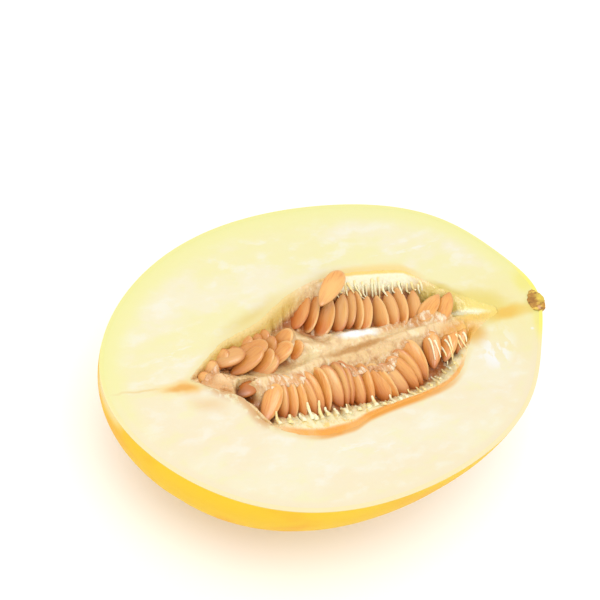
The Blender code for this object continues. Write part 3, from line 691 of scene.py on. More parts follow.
def finish_piece(piece, surface, slot, *nodes, smooth_degrees=40):
    """Gives a piece its material, shading and place in the model."""
    piece.data.materials.clear()
    piece.data.materials.append(surface)
    select_only(piece)
    bpy.ops.object.transform_apply(location=True, rotation=True, scale=True)
    bpy.ops.object.shade_smooth_by_angle(angle=math.radians(smooth_degrees))
    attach(piece, "root")
    if nodes:
        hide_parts(*nodes)


class Surface:
    """A procedural material in the making: its node tree, the colour shown so far and ways to add to both."""

    def __init__(self, name, roughness, lightness=1.0, **sockets):
        self.lightness = (lightness, lightness, lightness, 1)
        self.material = bpy.data.materials.new(name)
        self.material.use_nodes = True
        self.tree = self.material.node_tree
        self.shader = self.tree.nodes["Principled BSDF"]
        self.shader.inputs["Roughness"].default_value = roughness
        for socket, value in sockets.items():
            self.shader.inputs[socket.replace("_", " ")].default_value = value
        self.place = self.node("ShaderNodeTexCoord", {}, "Object")
        self.shown = self.lightness

    def node(self, kind, inputs, output=0, **settings):
        """Adds a node, sets and feeds it, and gives one of its outputs."""
        made = self.tree.nodes.new(kind)
        for name, value in settings.items():
            setattr(made, name, value)
        for socket, value in inputs.items():
            self.feed(made.inputs[socket], value)
        return made.outputs[output]

    def feed(self, socket, value):
        """Links a node's output to a socket, or sets the socket to a plain value."""
        if isinstance(value, bpy.types.NodeSocket):
            self.tree.links.new(value, socket)
        else:
            socket.default_value = value

    def number(self, name):
        """A number that the mesh keeps for each vertex."""
        return self.node("ShaderNodeAttribute", {}, "Fac", attribute_name=name)

    def sum(self, first, second, operation="ADD"):
        return self.node("ShaderNodeMath", {0: first, 1: second}, operation=operation)

    def times(self, first, second):
        return self.sum(first, second, "MULTIPLY")

    def stretch(self, scale, turn=0.0, place=None):
        """The place, turned by some degrees and scaled, for grains that run one way."""
        turned = (0, 0, math.radians(turn))
        inputs = {"Vector": place or self.place, "Rotation": turned, "Scale": scale}
        return self.node("ShaderNodeMapping", inputs)

    def noise(self, size, detail=3.0, roughness=0.5, place=None, output="Fac"):
        """Noise whose grains are about size metres across."""
        inputs = {"Vector": place or self.place, "Scale": 1 / size, "Detail": detail, "Roughness": roughness}
        return self.node("ShaderNodeTexNoise", inputs, output)

    def span(self, value, low, high, start=0.0, end=1.0):
        """Turns low..high into start..end, smoothly and held at both ends."""
        inputs = {"Value": value, "From Min": low, "From Max": high, "To Min": start, "To Max": end}
        return self.node("ShaderNodeMapRange", inputs, interpolation_type="SMOOTHSTEP")

    def wavy(self, size, amount):
        """The place, shifted a little by noise."""
        shift = self.noise(size, 2.0, output="Color")
        shift = self.node("ShaderNodeVectorMath", {0: shift, 1: (0.5, 0.5, 0.5)}, operation="SUBTRACT")
        shift = self.node("ShaderNodeVectorMath", {0: shift, "Scale": amount}, operation="SCALE")
        return self.node("ShaderNodeVectorMath", {0: self.place, 1: shift}, operation="ADD")

    def spot(self, x, y, half_length, half_width, turn=0.0, soft=0.6, place=None):
        """A mask over an oval of the cut face, given in millimetres: 1 inside and 0 outside."""
        inputs = {
            "Vector": place or self.place,
            "Location": (x * MM, y * MM, CUT_HEIGHT),
            "Rotation": (0, 0, math.radians(turn)),
            "Scale": (half_length * MM, half_width * MM, 10),
        }
        inside = self.node("ShaderNodeMapping", inputs, vector_type="TEXTURE")
        distance = self.node("ShaderNodeVectorMath", {0: inside}, "Value", operation="LENGTH")
        return self.span(distance, 1.0, 1.0 - soft)

    def spots(self, marks, place=None):
        """Lays soft ovals of colour: x, y, half length, half width, turn, softness, shade and strength."""
        for *oval, shade, strength in marks:
            self.lay(shade, self.spot(*oval, place), strength)

    def axis(self, name, place=None):
        """One coordinate of the place."""
        return self.node("ShaderNodeSeparateXYZ", {0: place or self.place}, name)

    def mix(self, first, second, share, blend="MIX"):
        """One colour over another, each given as a tone's name, a display colour or a node's output."""
        inputs = {"Factor": share, 6: shade_of(first), 7: shade_of(second)}
        return self.node("ShaderNodeMix", inputs, 2, data_type="RGBA", blend_type=blend, clamp_factor=True)

    def lay(self, colour, share, *more_shares):
        """Lays a colour over what is shown so far, as far as the product of its shares goes."""
        for part in more_shares:
            share = self.times(share, part)
        self.shown = self.mix(self.shown, colour, share)

    def finished(self, height, strength, distance):
        """The material, with the colour shown so far and bumps up to some metres high."""
        self.feed(self.shader.inputs["Base Color"], self.mix(self.shown, self.lightness, 1.0, "MULTIPLY"))
        inputs = {"Strength": strength, "Distance": distance, "Height": height}
        self.feed(self.shader.inputs["Normal"], self.node("ShaderNodeBump", inputs))
        return self.material


def shade_of(colour):
    """A colour as a shader takes it: from a tone's name, from a display colour, or as it is."""
    if isinstance(colour, str):
        return tuple(getattr(bpy.context.scene.melon_colours, colour))
    if isinstance(colour, tuple) and len(colour) == 3:
        return paint(*colour)
    return colour


# The clear yellow tissue that runs from the cavity to the stem, on flesh and pulp alike.
STEM_END_MARKS = (
    (56, 4.0, 17, 8.5, -18, 0.7, (244, 223, 118), 0.9),
    (46, 10.5, 11, 5.0, -34, 0.6, (232, 206, 104), 0.9),
    (53, 0.2, 11, 2.2, -6, 0.8, (242, 200, 96), 0.9),
    (50, -4.5, 7.5, 6, -30, 0.8, (242, 186, 78), 0.9),
    (66, -0.9, 12, 3.6, 2, 0.7, (250, 214, 102), 0.9),
    (64.5, -1.0, 5.5, 2.8, 6, 0.7, (250, 204, 88), 0.9),
)


def skin_surface():
    made = Surface(
        "melon_skin", 0.5, 0.785, Specular_IOR_Level=0.12, Coat_Weight=0.02, Coat_Roughness=0.3,
        Subsurface_Weight=0.05, Subsurface_Radius=(1.0, 0.6, 0.2), Subsurface_Scale=0.001,
    )
    patches = made.noise(0.02, 3, 0.55)
    lines = made.noise(0.006, 3, 0.6, made.stretch((0.25, 1.0, 1.0)))
    grains = made.noise(0.0011, 2, 0.5)
    made.shown = made.mix("skin", "skin_deep", made.span(patches, 0.42, 0.7))
    made.lay("skin_pale", made.span(lines, 0.58, 0.78, 0, 0.5))
    made.lay("skin_pale", made.span(made.axis("Z"), CUT_HEIGHT - 0.012, CUT_HEIGHT, 0, 0.4))
    cut_edge = made.span(made.axis("Z"), CUT_HEIGHT - 0.0006, CUT_HEIGHT - 0.0001)
    rim_tone = made.mix((243, 229, 180), (238, 234, 160), made.span(made.axis("Y"), -0.02, 0.015))
    made.lay(rim_tone, cut_edge)
    near_cut = made.span(made.axis("Z"), CUT_HEIGHT - 0.007, CUT_HEIGHT, 0, 0.7)
    made.lay((253, 238, 186), made.spot(-73, 1, 7, 14), near_cut)
    made.lay("skin_deep", made.span(grains, 0.66, 0.76, 0, 0.35))
    depth = made.number("depth")
    made.lay(rim_tone, made.span(depth, 0.0, 0.2))
    made.lay((253, 239, 124), made.spot(78, 0, 13, 20, 0, 0.6), made.span(depth, 0.0, 0.1))
    heights = made.sum(made.times(lines, 0.6), made.times(grains, 0.3))
    return made.finished(heights, 0.25, 0.0006)


def flesh_surface():
    made = Surface(
        "melon_flesh", 0.4, 0.7, Coat_Weight=0.15, Coat_Roughness=0.22,
        Subsurface_Weight=0.12, Subsurface_Radius=(1.0, 0.75, 0.45), Subsurface_Scale=0.0012,
    )
    wavy = made.wavy(0.006, 0.0022)
    from_rind, from_cavity = made.number("from_rind"), made.number("from_cavity")
    across = made.axis("Y", wavy)
    made.shown = made.mix("flesh_pink", "flesh_green", made.span(across, -0.012, 0.02, 0.0, 0.75))
    clouds = made.noise(0.014, 3, 0.55, made.stretch((0.55, 1, 1), 12))
    made.lay("flesh", made.span(clouds, 0.42, 0.62, 0.15, 0.9))
    mottle = made.noise(0.005, 4, 0.6, made.stretch((0.5, 1, 1), 12, wavy))
    made.lay((255, 252, 238), made.span(mottle, 0.5, 0.68, 0.0, 0.5))
    made.lay("flesh_green", made.span(mottle, 0.48, 0.34, 0.0, 0.3))
    upper = made.span(across, -0.024, 0.012, 0.1, 1.0)
    made.lay("flesh_green", made.span(from_rind, 9.0, 1.5), upper)
    made.lay("under_skin", made.span(from_rind, 2.0, 0.2, 0.0, 0.85), upper)
    made.lay("flesh_pink", made.span(from_rind, 3, 1), made.sum(1.0, upper, "SUBTRACT"))
    flesh_marks(made, wavy)
    cavity_lining(made, from_cavity, across)
    made.spots(STEM_END_MARKS, wavy)
    threads = made.noise(0.0016, 3, 0.6, made.stretch((0.3, 1, 1), 10, wavy))
    return made.finished(made.sum(threads, made.times(clouds, 0.7)), 0.14, 0.0008)


def flesh_marks(made, wavy):
    """The crease, streaks, clear patches and pale veins of the cut face, and painted sheen and a painted
    glint where it is wet.
    """
    threads = made.span(made.noise(0.0022, 4, 0.65, made.stretch((0.16, 1, 1), 12, wavy)), 0.56, 0.66)
    for oval in ((40, 30, 26, 5, -6), (54, -11, 14, 7, 12), (-45, 10, 18, 7, 15), (0, -34, 30, 6, 0)):
        made.lay((1.0, 1.0, 0.96, 1.0), made.spot(*oval, 0.9), threads, 0.5)
    # Painted sheen: white blotches where the wet flesh glistens.
    wet_sheen_blotches = made.span(made.noise(0.0042, 3, 0.6, made.stretch((1.3, 0.7, 1), 12, wavy)), 0.46, 0.55)
    made.lay((255, 255, 255), made.spot(57, -11, 12, 7, 50, 0.6), wet_sheen_blotches)
    marks = (
        (-59, 1.2, 15, 0.7, -6, 0.9, (246, 220, 160), 0.9),
        (-50, 0, 11, 2.8, -4, 0.9, (255, 228, 158), 0.95),
        (-45.5, -0.9, 7.5, 4.0, -8, 0.9, (252, 204, 116), 0.95),
        (-48, -0.6, 8, 1.5, -4, 0.8, (246, 178, 76), 0.85),
        (-42, -8, 9, 4.2, -24, 0.95, (248, 216, 164), 0.75),
        (-72.3, -0.6, 0.5, 0.4, 0, 0.5, (150, 120, 70), 0.8),
        (-17, 17.0, 22, 5.4, 20, 0.95, (240, 216, 132), 0.9),
        (64, 0, 22, 24, 0, 0.95, (252, 240, 168), 0.8),
        (75, 8.5, 5.0, 6.5, 14, 0.8, (251, 240, 122), 0.7),
        (75, 0, 4.4, 5, 0, 0.8, (236, 222, 112), 0.8),
        (74, -9, 3.8, 11, -12, 0.7, (253, 241, 130), 0.8),
        # Painted glint: a small white spot on the wet flesh.
        (70.4, -8.2, 0.8, 0.6, 0, 0.7, (255, 255, 250), 0.8),
    )
    made.spots(marks, wavy)


def cavity_lining(made, from_cavity, across):
    """Orange along the cavity's edge, and wet ochre down its wall."""
    near = made.span(across, 0.0, -0.006)
    far = made.span(across, 0.012, 0.018)
    made.lay((250, 234, 168), made.span(from_cavity, 3.0, 0.2, 0.0, 0.6))
    uneven = made.span(made.noise(0.009, 2), 0.35, 0.6, 0.75, 1.0)
    made.lay("lining", made.span(from_cavity, 2.4, 0.8), near, uneven, made.spot(12, -23, 36, 9, 6, 0.5))
    made.lay((255, 228, 152), made.span(from_cavity, 3.4, 0.6), far, made.spot(26, 23, 22, 8, -4, 0.5))
    torn = made.span(made.noise(0.0024, 4, 0.6), 0.36, 0.52)
    frayed = made.spot(-31, -10.5, 16, 8, -46, 0.5)
    made.lay((230, 176, 118), made.span(from_cavity, 4.2, 0.4), torn, frayed, 0.9)
    made.lay("ochre", made.span(from_cavity, -0.4, -2.6))


def pulp_surface_finish():
    made = Surface(
        "melon_pulp", 0.3, 0.8, Coat_Weight=0.4, Coat_Roughness=0.06,
        Subsurface_Weight=0.2, Subsurface_Radius=(1.0, 0.6, 0.3), Subsurface_Scale=0.0012,
    )
    wavy = made.wavy(0.003, 0.0015)
    rise = made.number("rise")
    strands = made.noise(0.0018, 4, 0.6, made.stretch((1, 0.3, 1), -15, wavy))
    # Painted shade: the pulp darker the lower it lies in its troughs.
    made.shown = made.mix("pulp_deep_and_shade", "pulp", made.span(rise, 0.0, 0.5))
    made.lay("fibre", made.span(rise, 0.6, 1.0, 0.0, 0.2))
    made.lay("pulp_deep_and_shade", made.span(strands, 0.5, 0.36, 0.0, 0.3))
    made.lay("fibre", made.span(strands, 0.56, 0.7, 0.0, 0.6))
    film = made.number("film")
    threads = made.noise(0.0011, 4, 0.65, made.stretch((1, 0.25, 1), -12, wavy))
    skin = made.mix((220, 162, 98), (255, 234, 200), made.span(threads, 0.4, 0.6))
    made.lay(skin, film, 0.9)
    made.lay((228, 162, 92), film, made.span(threads, 0.6, 0.4, 0.1, 0.7))
    marks = (
        (-36, -3.4, 7, 4.4, -20, 0.8, (228, 166, 98), 0.8),
        (-39, 1.5, 6, 4.5, 30, 0.7, (214, 150, 82), 0.8),
        # Painted light: paler in the shaded gap beside the lump.
        (-32.5, 0.2, 4.5, 2.8, -10, 0.6, (253, 206, 150), 0.8),
        # Painted shade: the dark of the hollow beside the pocket.
        (-29.5, -5.6, 3.2, 2.8, 0, 0.5, (120, 62, 22), 0.95),
        (-2, 4.6, 9, 1.5, -22, 0.8, (206, 158, 98), 0.7),
        # Painted light: paler over the trough at the far row's feet.
        (13, 6.2, 17, 2.6, -3, 0.7, (250, 222, 176), 0.85),
        # Painted shade: darker along the septum's trough.
        (12, 0.0, 18, 1.3, 3, 0.7, (206, 152, 80), 0.95),
        # Painted highlight: white on the septum's far slope.
        (13.5, 4.3, 9.5, 2.2, -4, 0.6, (255, 254, 250), 1.0),
        (-4, 1.5, 6, 3.4, 20, 0.8, (244, 222, 166), 0.8),
        (45, -3.5, 8, 5, -30, 0.7, (232, 168, 74), 0.85),
        (44, 5.6, 8, 3.6, -20, 0.7, (222, 180, 96), 0.85),
    )
    made.spots(marks, wavy)
    draped = made.spot(10, -7.5, 17, 5, 4, 0.6)
    for shade, low, high in (((196, 132, 82), 0.5, 0.36), ((255, 232, 200), 0.52, 0.64)):
        made.lay(shade, draped, made.span(threads, low, high, 0.0, 0.75))
    near, far = made.number("near_bank"), made.number("far_bank")
    ivory = made.mix((255, 241, 192), (252, 220, 134), made.span(strands, 0.52, 0.64))
    made.lay(ivory, made.span(near, 1.25, 0.85), made.spot(13, -17, 38, 16, 9, 0.2))
    uneven = made.span(made.noise(0.009, 2), 0.35, 0.6, 0.85, 1.0)
    made.lay("lining", made.span(near, 0.42, 0.2), made.spot(10, -20, 40, 13, 9, 0.3), uneven)
    wet = made.mix((242, 212, 136), "ochre", made.span(far, 0.05, 0.65))
    made.lay(wet, made.span(far, 1.3, 0.7), made.spot(-22, 14, 28, 10, 22, 0.4))
    topped = made.mix((255, 214, 116), (255, 248, 212), made.span(far, 0.12, 0.26))
    made.lay(topped, made.span(far, 1.0, 0.7), made.spot(24, 21, 19, 8, -8, 0.3))
    made.spots(STEM_END_MARKS, wavy)
    made.spots(((50.5, 3.6, 11, 1.7, -15, 0.7, (255, 248, 210), 0.95),), wavy)
    return made.finished(made.sum(strands, made.noise(0.0007, 2)), 0.6, 0.0005)


def fibre_finish():
    made = Surface(
        "pulp_fibres", 0.35, 0.86,
        Subsurface_Weight=0.2, Subsurface_Radius=(1.0, 0.7, 0.4), Subsurface_Scale=0.001,
    )
    patches = made.span(made.noise(0.004, 2), 0.42, 0.62)
    made.shown = made.mix((255, 246, 206), (255, 230, 160), patches)
    return made.finished(made.noise(0.0006, 2), 0.2, 0.0003)


def seed_finish():
    made = Surface(
        "melon_seed", 0.3, 0.74, Coat_Weight=0.35, Coat_Roughness=0.16,
        Subsurface_Weight=0.12, Subsurface_Radius=(1.0, 0.5, 0.25), Subsurface_Scale=0.001,
    )
    along, across, own = made.number("along"), made.number("across"), made.number("own_tone")
    spread = {0: along, 1: made.times(across, 5.0), 2: made.times(own, 40.0)}
    streaks = made.noise(0.55, 3, 0.55, made.node("ShaderNodeCombineXYZ", spread))
    made.shown = made.mix("seed", "seed_deep_and_shade", made.span(streaks, 0.4, 0.72, 0.0, 0.55))
    made.lay("seed_rim", made.span(own, 0.45, 1.0, 0.0, 0.45))
    # Painted shade: seeds darker the deeper they lie below the cut face.
    painted_depth_shade = made.span(made.axis("Z"), CUT_HEIGHT - 0.0005, CUT_HEIGHT - 0.0055, 0.0, 0.85)
    made.lay("seed_deep_and_shade", painted_depth_shade)
    made.lay("seed_deep_and_shade", made.span(along, 0.5, 1.0, 0.0, 0.4))
    edge = made.sum(made.times(along, along), made.times(across, across))
    rim = made.span(edge, 0.66, 0.96)
    made.lay("seed_rim", rim, made.span(own, 0.3, 0.7, 0.55, 0.0))
    made.lay((198, 94, 36), rim, made.span(own, 0.4, 0.8, 0.0, 0.6))
    # Painted shade: each seed darker towards its lower side.
    made.lay((172, 92, 34), made.span(made.number("lift"), 0.1, -0.85, 0.0, 0.75))
    marks = (
        (-22, 7, 19, 9, 25, 0.6, (214, 138, 66), 0.45),
        # Painted light: the far row's seeds lighter.
        (24, 15, 27, 9, -5, 0.4, (255, 206, 134), 0.4),
        (-27, -4.6, 7, 5, 0, 0.3, (208, 122, 48), 0.9),
        # Painted shade: the seed in the hollow darker at its left.
        (-31.5, -5.4, 4.5, 4, 0, 0.8, (150, 78, 16), 0.85),
        # Painted light: the loose seed lighter along its crest.
        (8.8, 19.4, 6, 2.6, 42, 0.8, (255, 204, 122), 0.6),
    )
    made.spots(marks)
    return made.finished(streaks, 0.3, 0.0003)


def stem_finish():
    made = Surface("melon_stem", 0.8)
    lines = made.noise(0.0012, 4, 0.65, made.stretch((0.35, 1, 1)))
    made.shown = made.mix("stem", "stem_pale", made.span(lines, 0.48, 0.66))
    marks = (
        (78.4, 1.6, 3.0, 3.4, 0, 0.9, (214, 190, 78), 0.95),
        (75.0, 1.6, 1.7, 2.6, 20, 0.9, (150, 102, 42), 0.85),
        (78.6, -1.4, 1.6, 1.8, 0, 0.9, (196, 136, 56), 0.9),
        (76.2, -1.8, 1.0, 1.0, 0, 0.8, (214, 164, 128), 0.8),
        (74.6, -3.0, 1.4, 1.2, 0, 0.8, (164, 160, 70), 0.9),
    )
    made.spots(marks)
    made.lay((104, 70, 34), made.span(made.noise(0.0011, 3), 0.56, 0.68, 0.0, 0.75))
    return made.finished(lines, 0.8, 0.0008)


class MELON_OT_rind(bpy.types.Operator):
    """Adds the rind: the skin, its pale underside and its thin cut edge"""

    bl_idname = "melon.rind"
    bl_label = "Rind"

    def execute(self, context):
        sizes = context.scene.melon_sizes
        around = np.linspace(0, 2 * math.pi, sizes.around + 1)[None, :]
        down = np.linspace(math.pi / 2, 0, RIND_RINGS)[:, None]
        outside = fruit_points(around, down, 0)
        outside = outside + self.unevenness(outside, down)
        thick = sizes.rind / MM
        edge = fruit_points(around, 0 * down[:1], thick)
        shares = np.linspace(0, 1, CUT_EDGE_RINGS + 1)[1:, None, None]
        face = outside[-1:] * (1 - shares) + edge * shares
        inside = fruit_points(around, down[::-1][1:], thick)
        inside[..., 2] = np.maximum(inside[..., 2], -CUT_HEIGHT / MM + thick)
        points = np.concatenate([outside, face, inside])
        depth = np.concatenate([np.zeros(RIND_RINGS), shares.ravel(), np.ones(RIND_RINGS - 1)])[:, None]
        piece = rolled_grid("rind_skin", points, depth=depth)
        finish_piece(piece, skin_surface(), "rind", "rind")
        return {"FINISHED"}

    def unevenness(self, points, down):
        """Shallow dents and lengthwise waves of the skin, none at the cut edge or the resting spot."""
        waves = sum(grain(points, *kind) * height for *kind, height in SKIN_WAVES)
        calm = np.sin(down * 2) * fade(*CALM_BELOW, points[..., 2])
        outward = points / np.linalg.norm(points, axis=-1, keepdims=True)
        return outward * (np.minimum(waves, 0.0) * calm)[..., None]


class MELON_OT_flesh(bpy.types.Operator):
    """Adds the flesh: its outside, the level cut face and the wall of the seed cavity"""

    bl_idname = "melon.flesh"
    bl_label = "Flesh"

    def execute(self, context):
        sizes = context.scene.melon_sizes
        around = np.linspace(0, 2 * math.pi, sizes.around + 1)[None, :]
        wall_down = np.linspace(math.pi / 2, 0, FLESH_RINGS + 1)[:-1, None]
        wall = cavity_points(around, wall_down)
        inset = sizes.rind / MM
        level = 0 * wall_down[:1]
        rim, edge = cavity_points(around, level), fruit_points(around, level, inset)
        shares = FACE_SHARES[:, None]
        face = rim * (1 - shares[..., None]) + edge * shares[..., None]
        face[..., 2] -= self.relief(face, rim)
        down = np.linspace(0, math.pi / 2, FLESH_RINGS + 1)[1:, None]
        outside = fruit_points(around, down, inset)
        points = np.concatenate([wall, face, outside])
        reach = np.linalg.norm(edge - rim, axis=-1)
        far_out, far_in = (np.full(part.shape[:2], OUT_OF_REACH) for part in (outside, wall))
        from_cavity = np.concatenate([wall[..., 2], shares * reach, far_out])
        from_rind = np.concatenate([far_in, (1 - shares) * reach, 0 * outside[..., 2]])
        piece = rolled_grid("flesh_body", points, from_cavity=from_cavity, from_rind=from_rind)
        finish_piece(piece, flesh_surface(), "flesh", "flesh")
        return {"FINISHED"}

    def relief(self, face, rim):
        """How far the face dips at the rounded lip of the cavity and in the crease at the blossom end."""
        lip = fade(LIP_WIDTH, 0.0, np.linalg.norm(face - rim, axis=-1)) * LIP_DROP
        x, y = face[..., 0], face[..., 1]
        from_line = (y - smooth_through(CREASE_LINE, x)) / CREASE_HALF_WIDTH
        ends = fade(*CREASE_ENDS[0], x) * fade(*CREASE_ENDS[1], x)
        return lip + np.exp(-(from_line**2)) * ends * CREASE_DEPTH


class MELON_OT_pulp(bpy.types.Operator):
    """Adds the pulp that fills the cavity, with its ridges and the seats of the seeds"""

    bl_idname = "melon.pulp"
    bl_label = "Pulp"

    def execute(self, context):
        x = (CAVITY_MIDDLE - np.cos(np.linspace(0, math.pi, PULP_STEPS[0])) * CAVITY_REACH)[None, :]
        far, near = smooth_through(FAR_EDGE, x) + EDGE_OVERLAP, smooth_through(NEAR_EDGE, x) - EDGE_OVERLAP
        depth = smooth_through(CAVITY_DEPTH, x) - PULP_CLEARANCE
        middle, half = (far + near) / 2, (far - near) / 2
        share = np.cos(np.linspace(0, math.pi, PULP_STEPS[1]))[:, None]
        y = middle + half * share
        points = np.stack(np.broadcast_arrays(x, y, 0 * y), axis=-1).copy()
        x, y = points[..., 0], points[..., 1]
        top, film = pulp_surface(x, y)
        floor = BANK_TOP + UNDER_BANK - depth * np.sqrt(np.maximum(1 - share**2, 0))
        points[..., 2] = np.maximum(top, floor * LEAST_TOP)
        points[[0, -1], :, 2] = floor[[0, -1]]
        # How high the pulp stands between its troughs and its roof; the material lays painted shade where it
        # is low.
        rise = np.clip((np.maximum(pulp_top(x, y), top) - PULP_LEVEL) / (PULP_ROOF - PULP_LEVEL), 0, 1)
        far_bank, near_bank = bank_height(x, y)[1]
        numbers = {"rise": rise, "film": film, "far_bank": far_bank, "near_bank": near_bank}
        under = points[::-1][1:].copy()
        under[..., 2] = np.minimum(floor[::-1][1:], under[..., 2])
        points = np.concatenate([points, under])
        numbers = {name: np.concatenate([values, values[::-1][1:]]) for name, values in numbers.items()}
        piece = rolled_grid("pulp_body", points, **numbers)
        self.close_ends(piece)
        finish_piece(piece, pulp_surface_finish(), "pulp", "pulp", smooth_degrees=80)
        return {"FINISHED"}

    def close_ends(self, piece):
        """Caps the open ends of the pulp's skin."""
        select_only(piece)
        bpy.ops.object.mode_set(mode="EDIT")
        bpy.ops.mesh.select_all(action="DESELECT")
        bpy.ops.mesh.select_non_manifold()
        bpy.ops.mesh.edge_face_add()
        face_outwards()


def model_seed(point_seen):
    """One seed at the origin, as long as it is in the fruit: +X runs from its seen end to its root."""
    long, wide, thick = seed_sizes()
    piece = lying_ball("seed", *SEED_FACES)
    along, across, up = vertex_places(piece).T
    towards_tip = -along if point_seen else along
    width = (1 - SEED_TAPER * towards_tip) * (1 - SEED_POINT * fade(SEED_POINT_FROM, 1.0, towards_tip))
    rise = np.sign(up) * np.abs(up) ** SEED_ROUNDING
    shaped = np.stack([along * long / 2, across * width * wide / 2, rise * thick / 2], axis=-1)
    piece.data.vertices.foreach_set("co", shaped.ravel())
    keep_numbers(piece, "along", towards_tip)
    keep_numbers(piece, "across", across)
    return piece


def place_seeds(name, places, point_seen):
    """Copies the seed to each place, every copy a little different, and joins them."""
    pattern = model_seed(point_seen)
    long, wide, thick = seed_sizes()
    draw = random.Random(name)
    copies = []
    for x, y, z, heading, fall, tilt, share in places:
        copy = bpy.data.objects.new("seed_copy", pattern.data.copy())
        bpy.context.scene.collection.objects.link(copy)
        length, width, face = seed_axes(heading, fall, tilt)
        turn = Matrix((length, width, face)).transposed().to_4x4()
        middle = Vector((x, y, z)) + length * long * share / 2
        scale = Matrix.Diagonal((share * MM, (1 + share) / 2 * MM, MM * draw.uniform(*SEED_PLUMPNESS), 1))
        bend_seed(copy, draw.uniform(-SEED_BOW, SEED_BOW))
        copy.data.transform(Matrix.Translation(middle * MM + Vector((0, 0, CUT_HEIGHT))) @ turn @ scale)
        keep_numbers(copy, "own_tone", np.full(len(copy.data.vertices), draw.random()))
        # Heights about each copy's middle, by which the seed material paints shade on its lower side.
        heights = vertex_places(copy)[:, 2]
        heights -= heights.mean()
        keep_numbers(copy, "lift", heights / np.abs(heights).max())
        copies.append(copy)
    bpy.data.objects.remove(pattern)
    select_only(*copies)
    if len(copies) > 1:
        bpy.ops.object.join()
    copies[0].name = copies[0].data.name = name
    return copies[0]


def bend_seed(piece, amount):
    """Bows a seed along its length: its ends go down where the amount in millimetres is above 0."""
    for vertex in piece.data.vertices:
        vertex.co.z += amount * (SEED_BOW_LEVEL - (vertex.co.x / SEED_BOW_REACH) ** 2)


class MELON_OT_seeds(bpy.types.Operator):
    """Adds the seeds of both rows, of the pocket and of the hollow, and the loose one"""

    bl_idname = "melon.seeds"
    bl_label = "Seeds"

    def execute(self, context):
        surface = seed_finish()
        for name, places in seed_places().items():
            piece = place_seeds(name.replace("seeds_", "seed_bunch_"), places, "row" in name)
            finish_piece(piece, surface, "seed", name)
        piece = place_seeds("hollow_seed_fine", [HOLLOW_SEED], False)
        finish_piece(piece, surface, "seed", "seed_in_hollow")
        start, end, tilt = LOOSE_SEED
        run = Vector(end) - Vector(start)
        heading = math.degrees(math.atan2(run.y, run.x))
        fall = -math.degrees(math.atan2(run.z, math.hypot(run.x, run.y)))
        place = (*start, heading, fall, tilt, run.length / seed_sizes()[0])
        piece = place_seeds("loose_seed_fine", [place], True)
        finish_piece(piece, surface, "seed", "loose_seed")
        return {"FINISHED"}


class MELON_OT_fibres(bpy.types.Operator):
    """Adds the wet fibres that hang between the pulp and the seeds"""

    bl_idname = "melon.fibres"
    bl_label = "Fibres"

    def execute(self, context):
        draw = random.Random(STRAND_SEED)
        curve = bpy.data.curves.new("fibres", "CURVE")
        curve.dimensions = "3D"
        curve.bevel_depth = MM
        curve.bevel_resolution = 1
        curve.resolution_u = 3
        curve.use_fill_caps = True
        for first, last, count, starts, ends, radius in STRAND_BUNCHES:
            for number in range(count):
                step = number + draw.uniform(-STRAND_SCATTER, STRAND_SCATTER)
                x = first + (last - first) * step / (count - 1)
                self.strand(curve, draw, x, starts, ends, radius)
        piece = bpy.data.objects.new("pulp_fibres", curve)
        bpy.context.scene.collection.objects.link(piece)
        select_only(piece)
        bpy.ops.object.convert(target="MESH")
        finish_piece(bpy.context.object, fibre_finish(), "pulp", smooth_degrees=80)
        return {"FINISHED"}

    def strand(self, curve, draw, x, starts, ends, radius):
        """One strand from the pulp over what lies under it, in millimetres."""
        start_y = float(smooth_through(starts, x)) + draw.uniform(-START_SPREAD, START_SPREAD)
        end_y = float(smooth_through(ends, x)) + draw.uniform(-END_SPREAD, END_SPREAD)
        lean = draw.uniform(-STRAND_LEAN, STRAND_LEAN)
        share = np.linspace(0, 1, STRAND_POINTS)
        waves = np.sin(share * STRAND_WAVES + draw.uniform(0, 6)) * STRAND_SWAY
        xs = x + (end_y - start_y) * lean * share + waves
        ys = start_y + (end_y - start_y) * share
        heights = cover_height(xs, ys, SEAT_GAP)
        for _ in range(STRAND_SMOOTHING):
            heights[1:-1] = (heights[:-2] + heights[1:-1] + heights[2:]) / 3
        heights[0] -= STRAND_ROOT_DEPTH
        heights = np.minimum(heights + radius * 0.4, STRAND_ROOF)
        line = curve.splines.new("POLY")
        line.points.add(len(share) - 1)
        for point, px, py, pz, along in zip(line.points, xs, ys, heights, share):
            point.co = (px * MM, py * MM, pz * MM + CUT_HEIGHT, 1)
            point.radius = radius * draw.uniform(*STRAND_PLUMPNESS) * (1 - STRAND_TAPER * along)


class MELON_OT_stem(bpy.types.Operator):
    """Adds the torn stub of the stem, cut through with the fruit"""

    bl_idname = "melon.stem"
    bl_label = "Stem"

    def execute(self, context):
        low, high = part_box("stem_stub")
        middle, half = (low + high) / 2, (high - low) / 2
        piece = lying_ball("stem_knob", *STEM_FACES)
        for vertex in piece.data.vertices:
            self.shape(vertex, STEM_CROWN * MM / half.y)
        piece.scale = (half.x * STEM_REACH, half.y, half.y)
        piece.location = (middle.x, middle.y, CUT_HEIGHT)
        bpy.ops.object.transform_apply(location=True, rotation=True, scale=True)
        finish_piece(piece, stem_finish(), "stem", "stem_stub")
        return {"FINISHED"}

    def shape(self, vertex, crown):
        """Moves a vertex of the ball in to leave ribs and knobs, and all but levels the cut side."""
        rib = 1 + RIB_RISE * math.cos(STEM_RIBS * math.atan2(vertex.co.z, vertex.co.y)) * (1 - vertex.co.x**2)
        knob = 1 + layered_noise(vertex.co, KNOBS)
        vertex.co = (vertex.co * min(knob, KNOB_ROOF)) / KNOB_ROOF
        vertex.co.y *= rib / (1 + RIB_RISE)
        if vertex.co.z > 0:
            vertex.co.z *= crown * (1 + layered_noise(vertex.co, TORN_FIBRES))


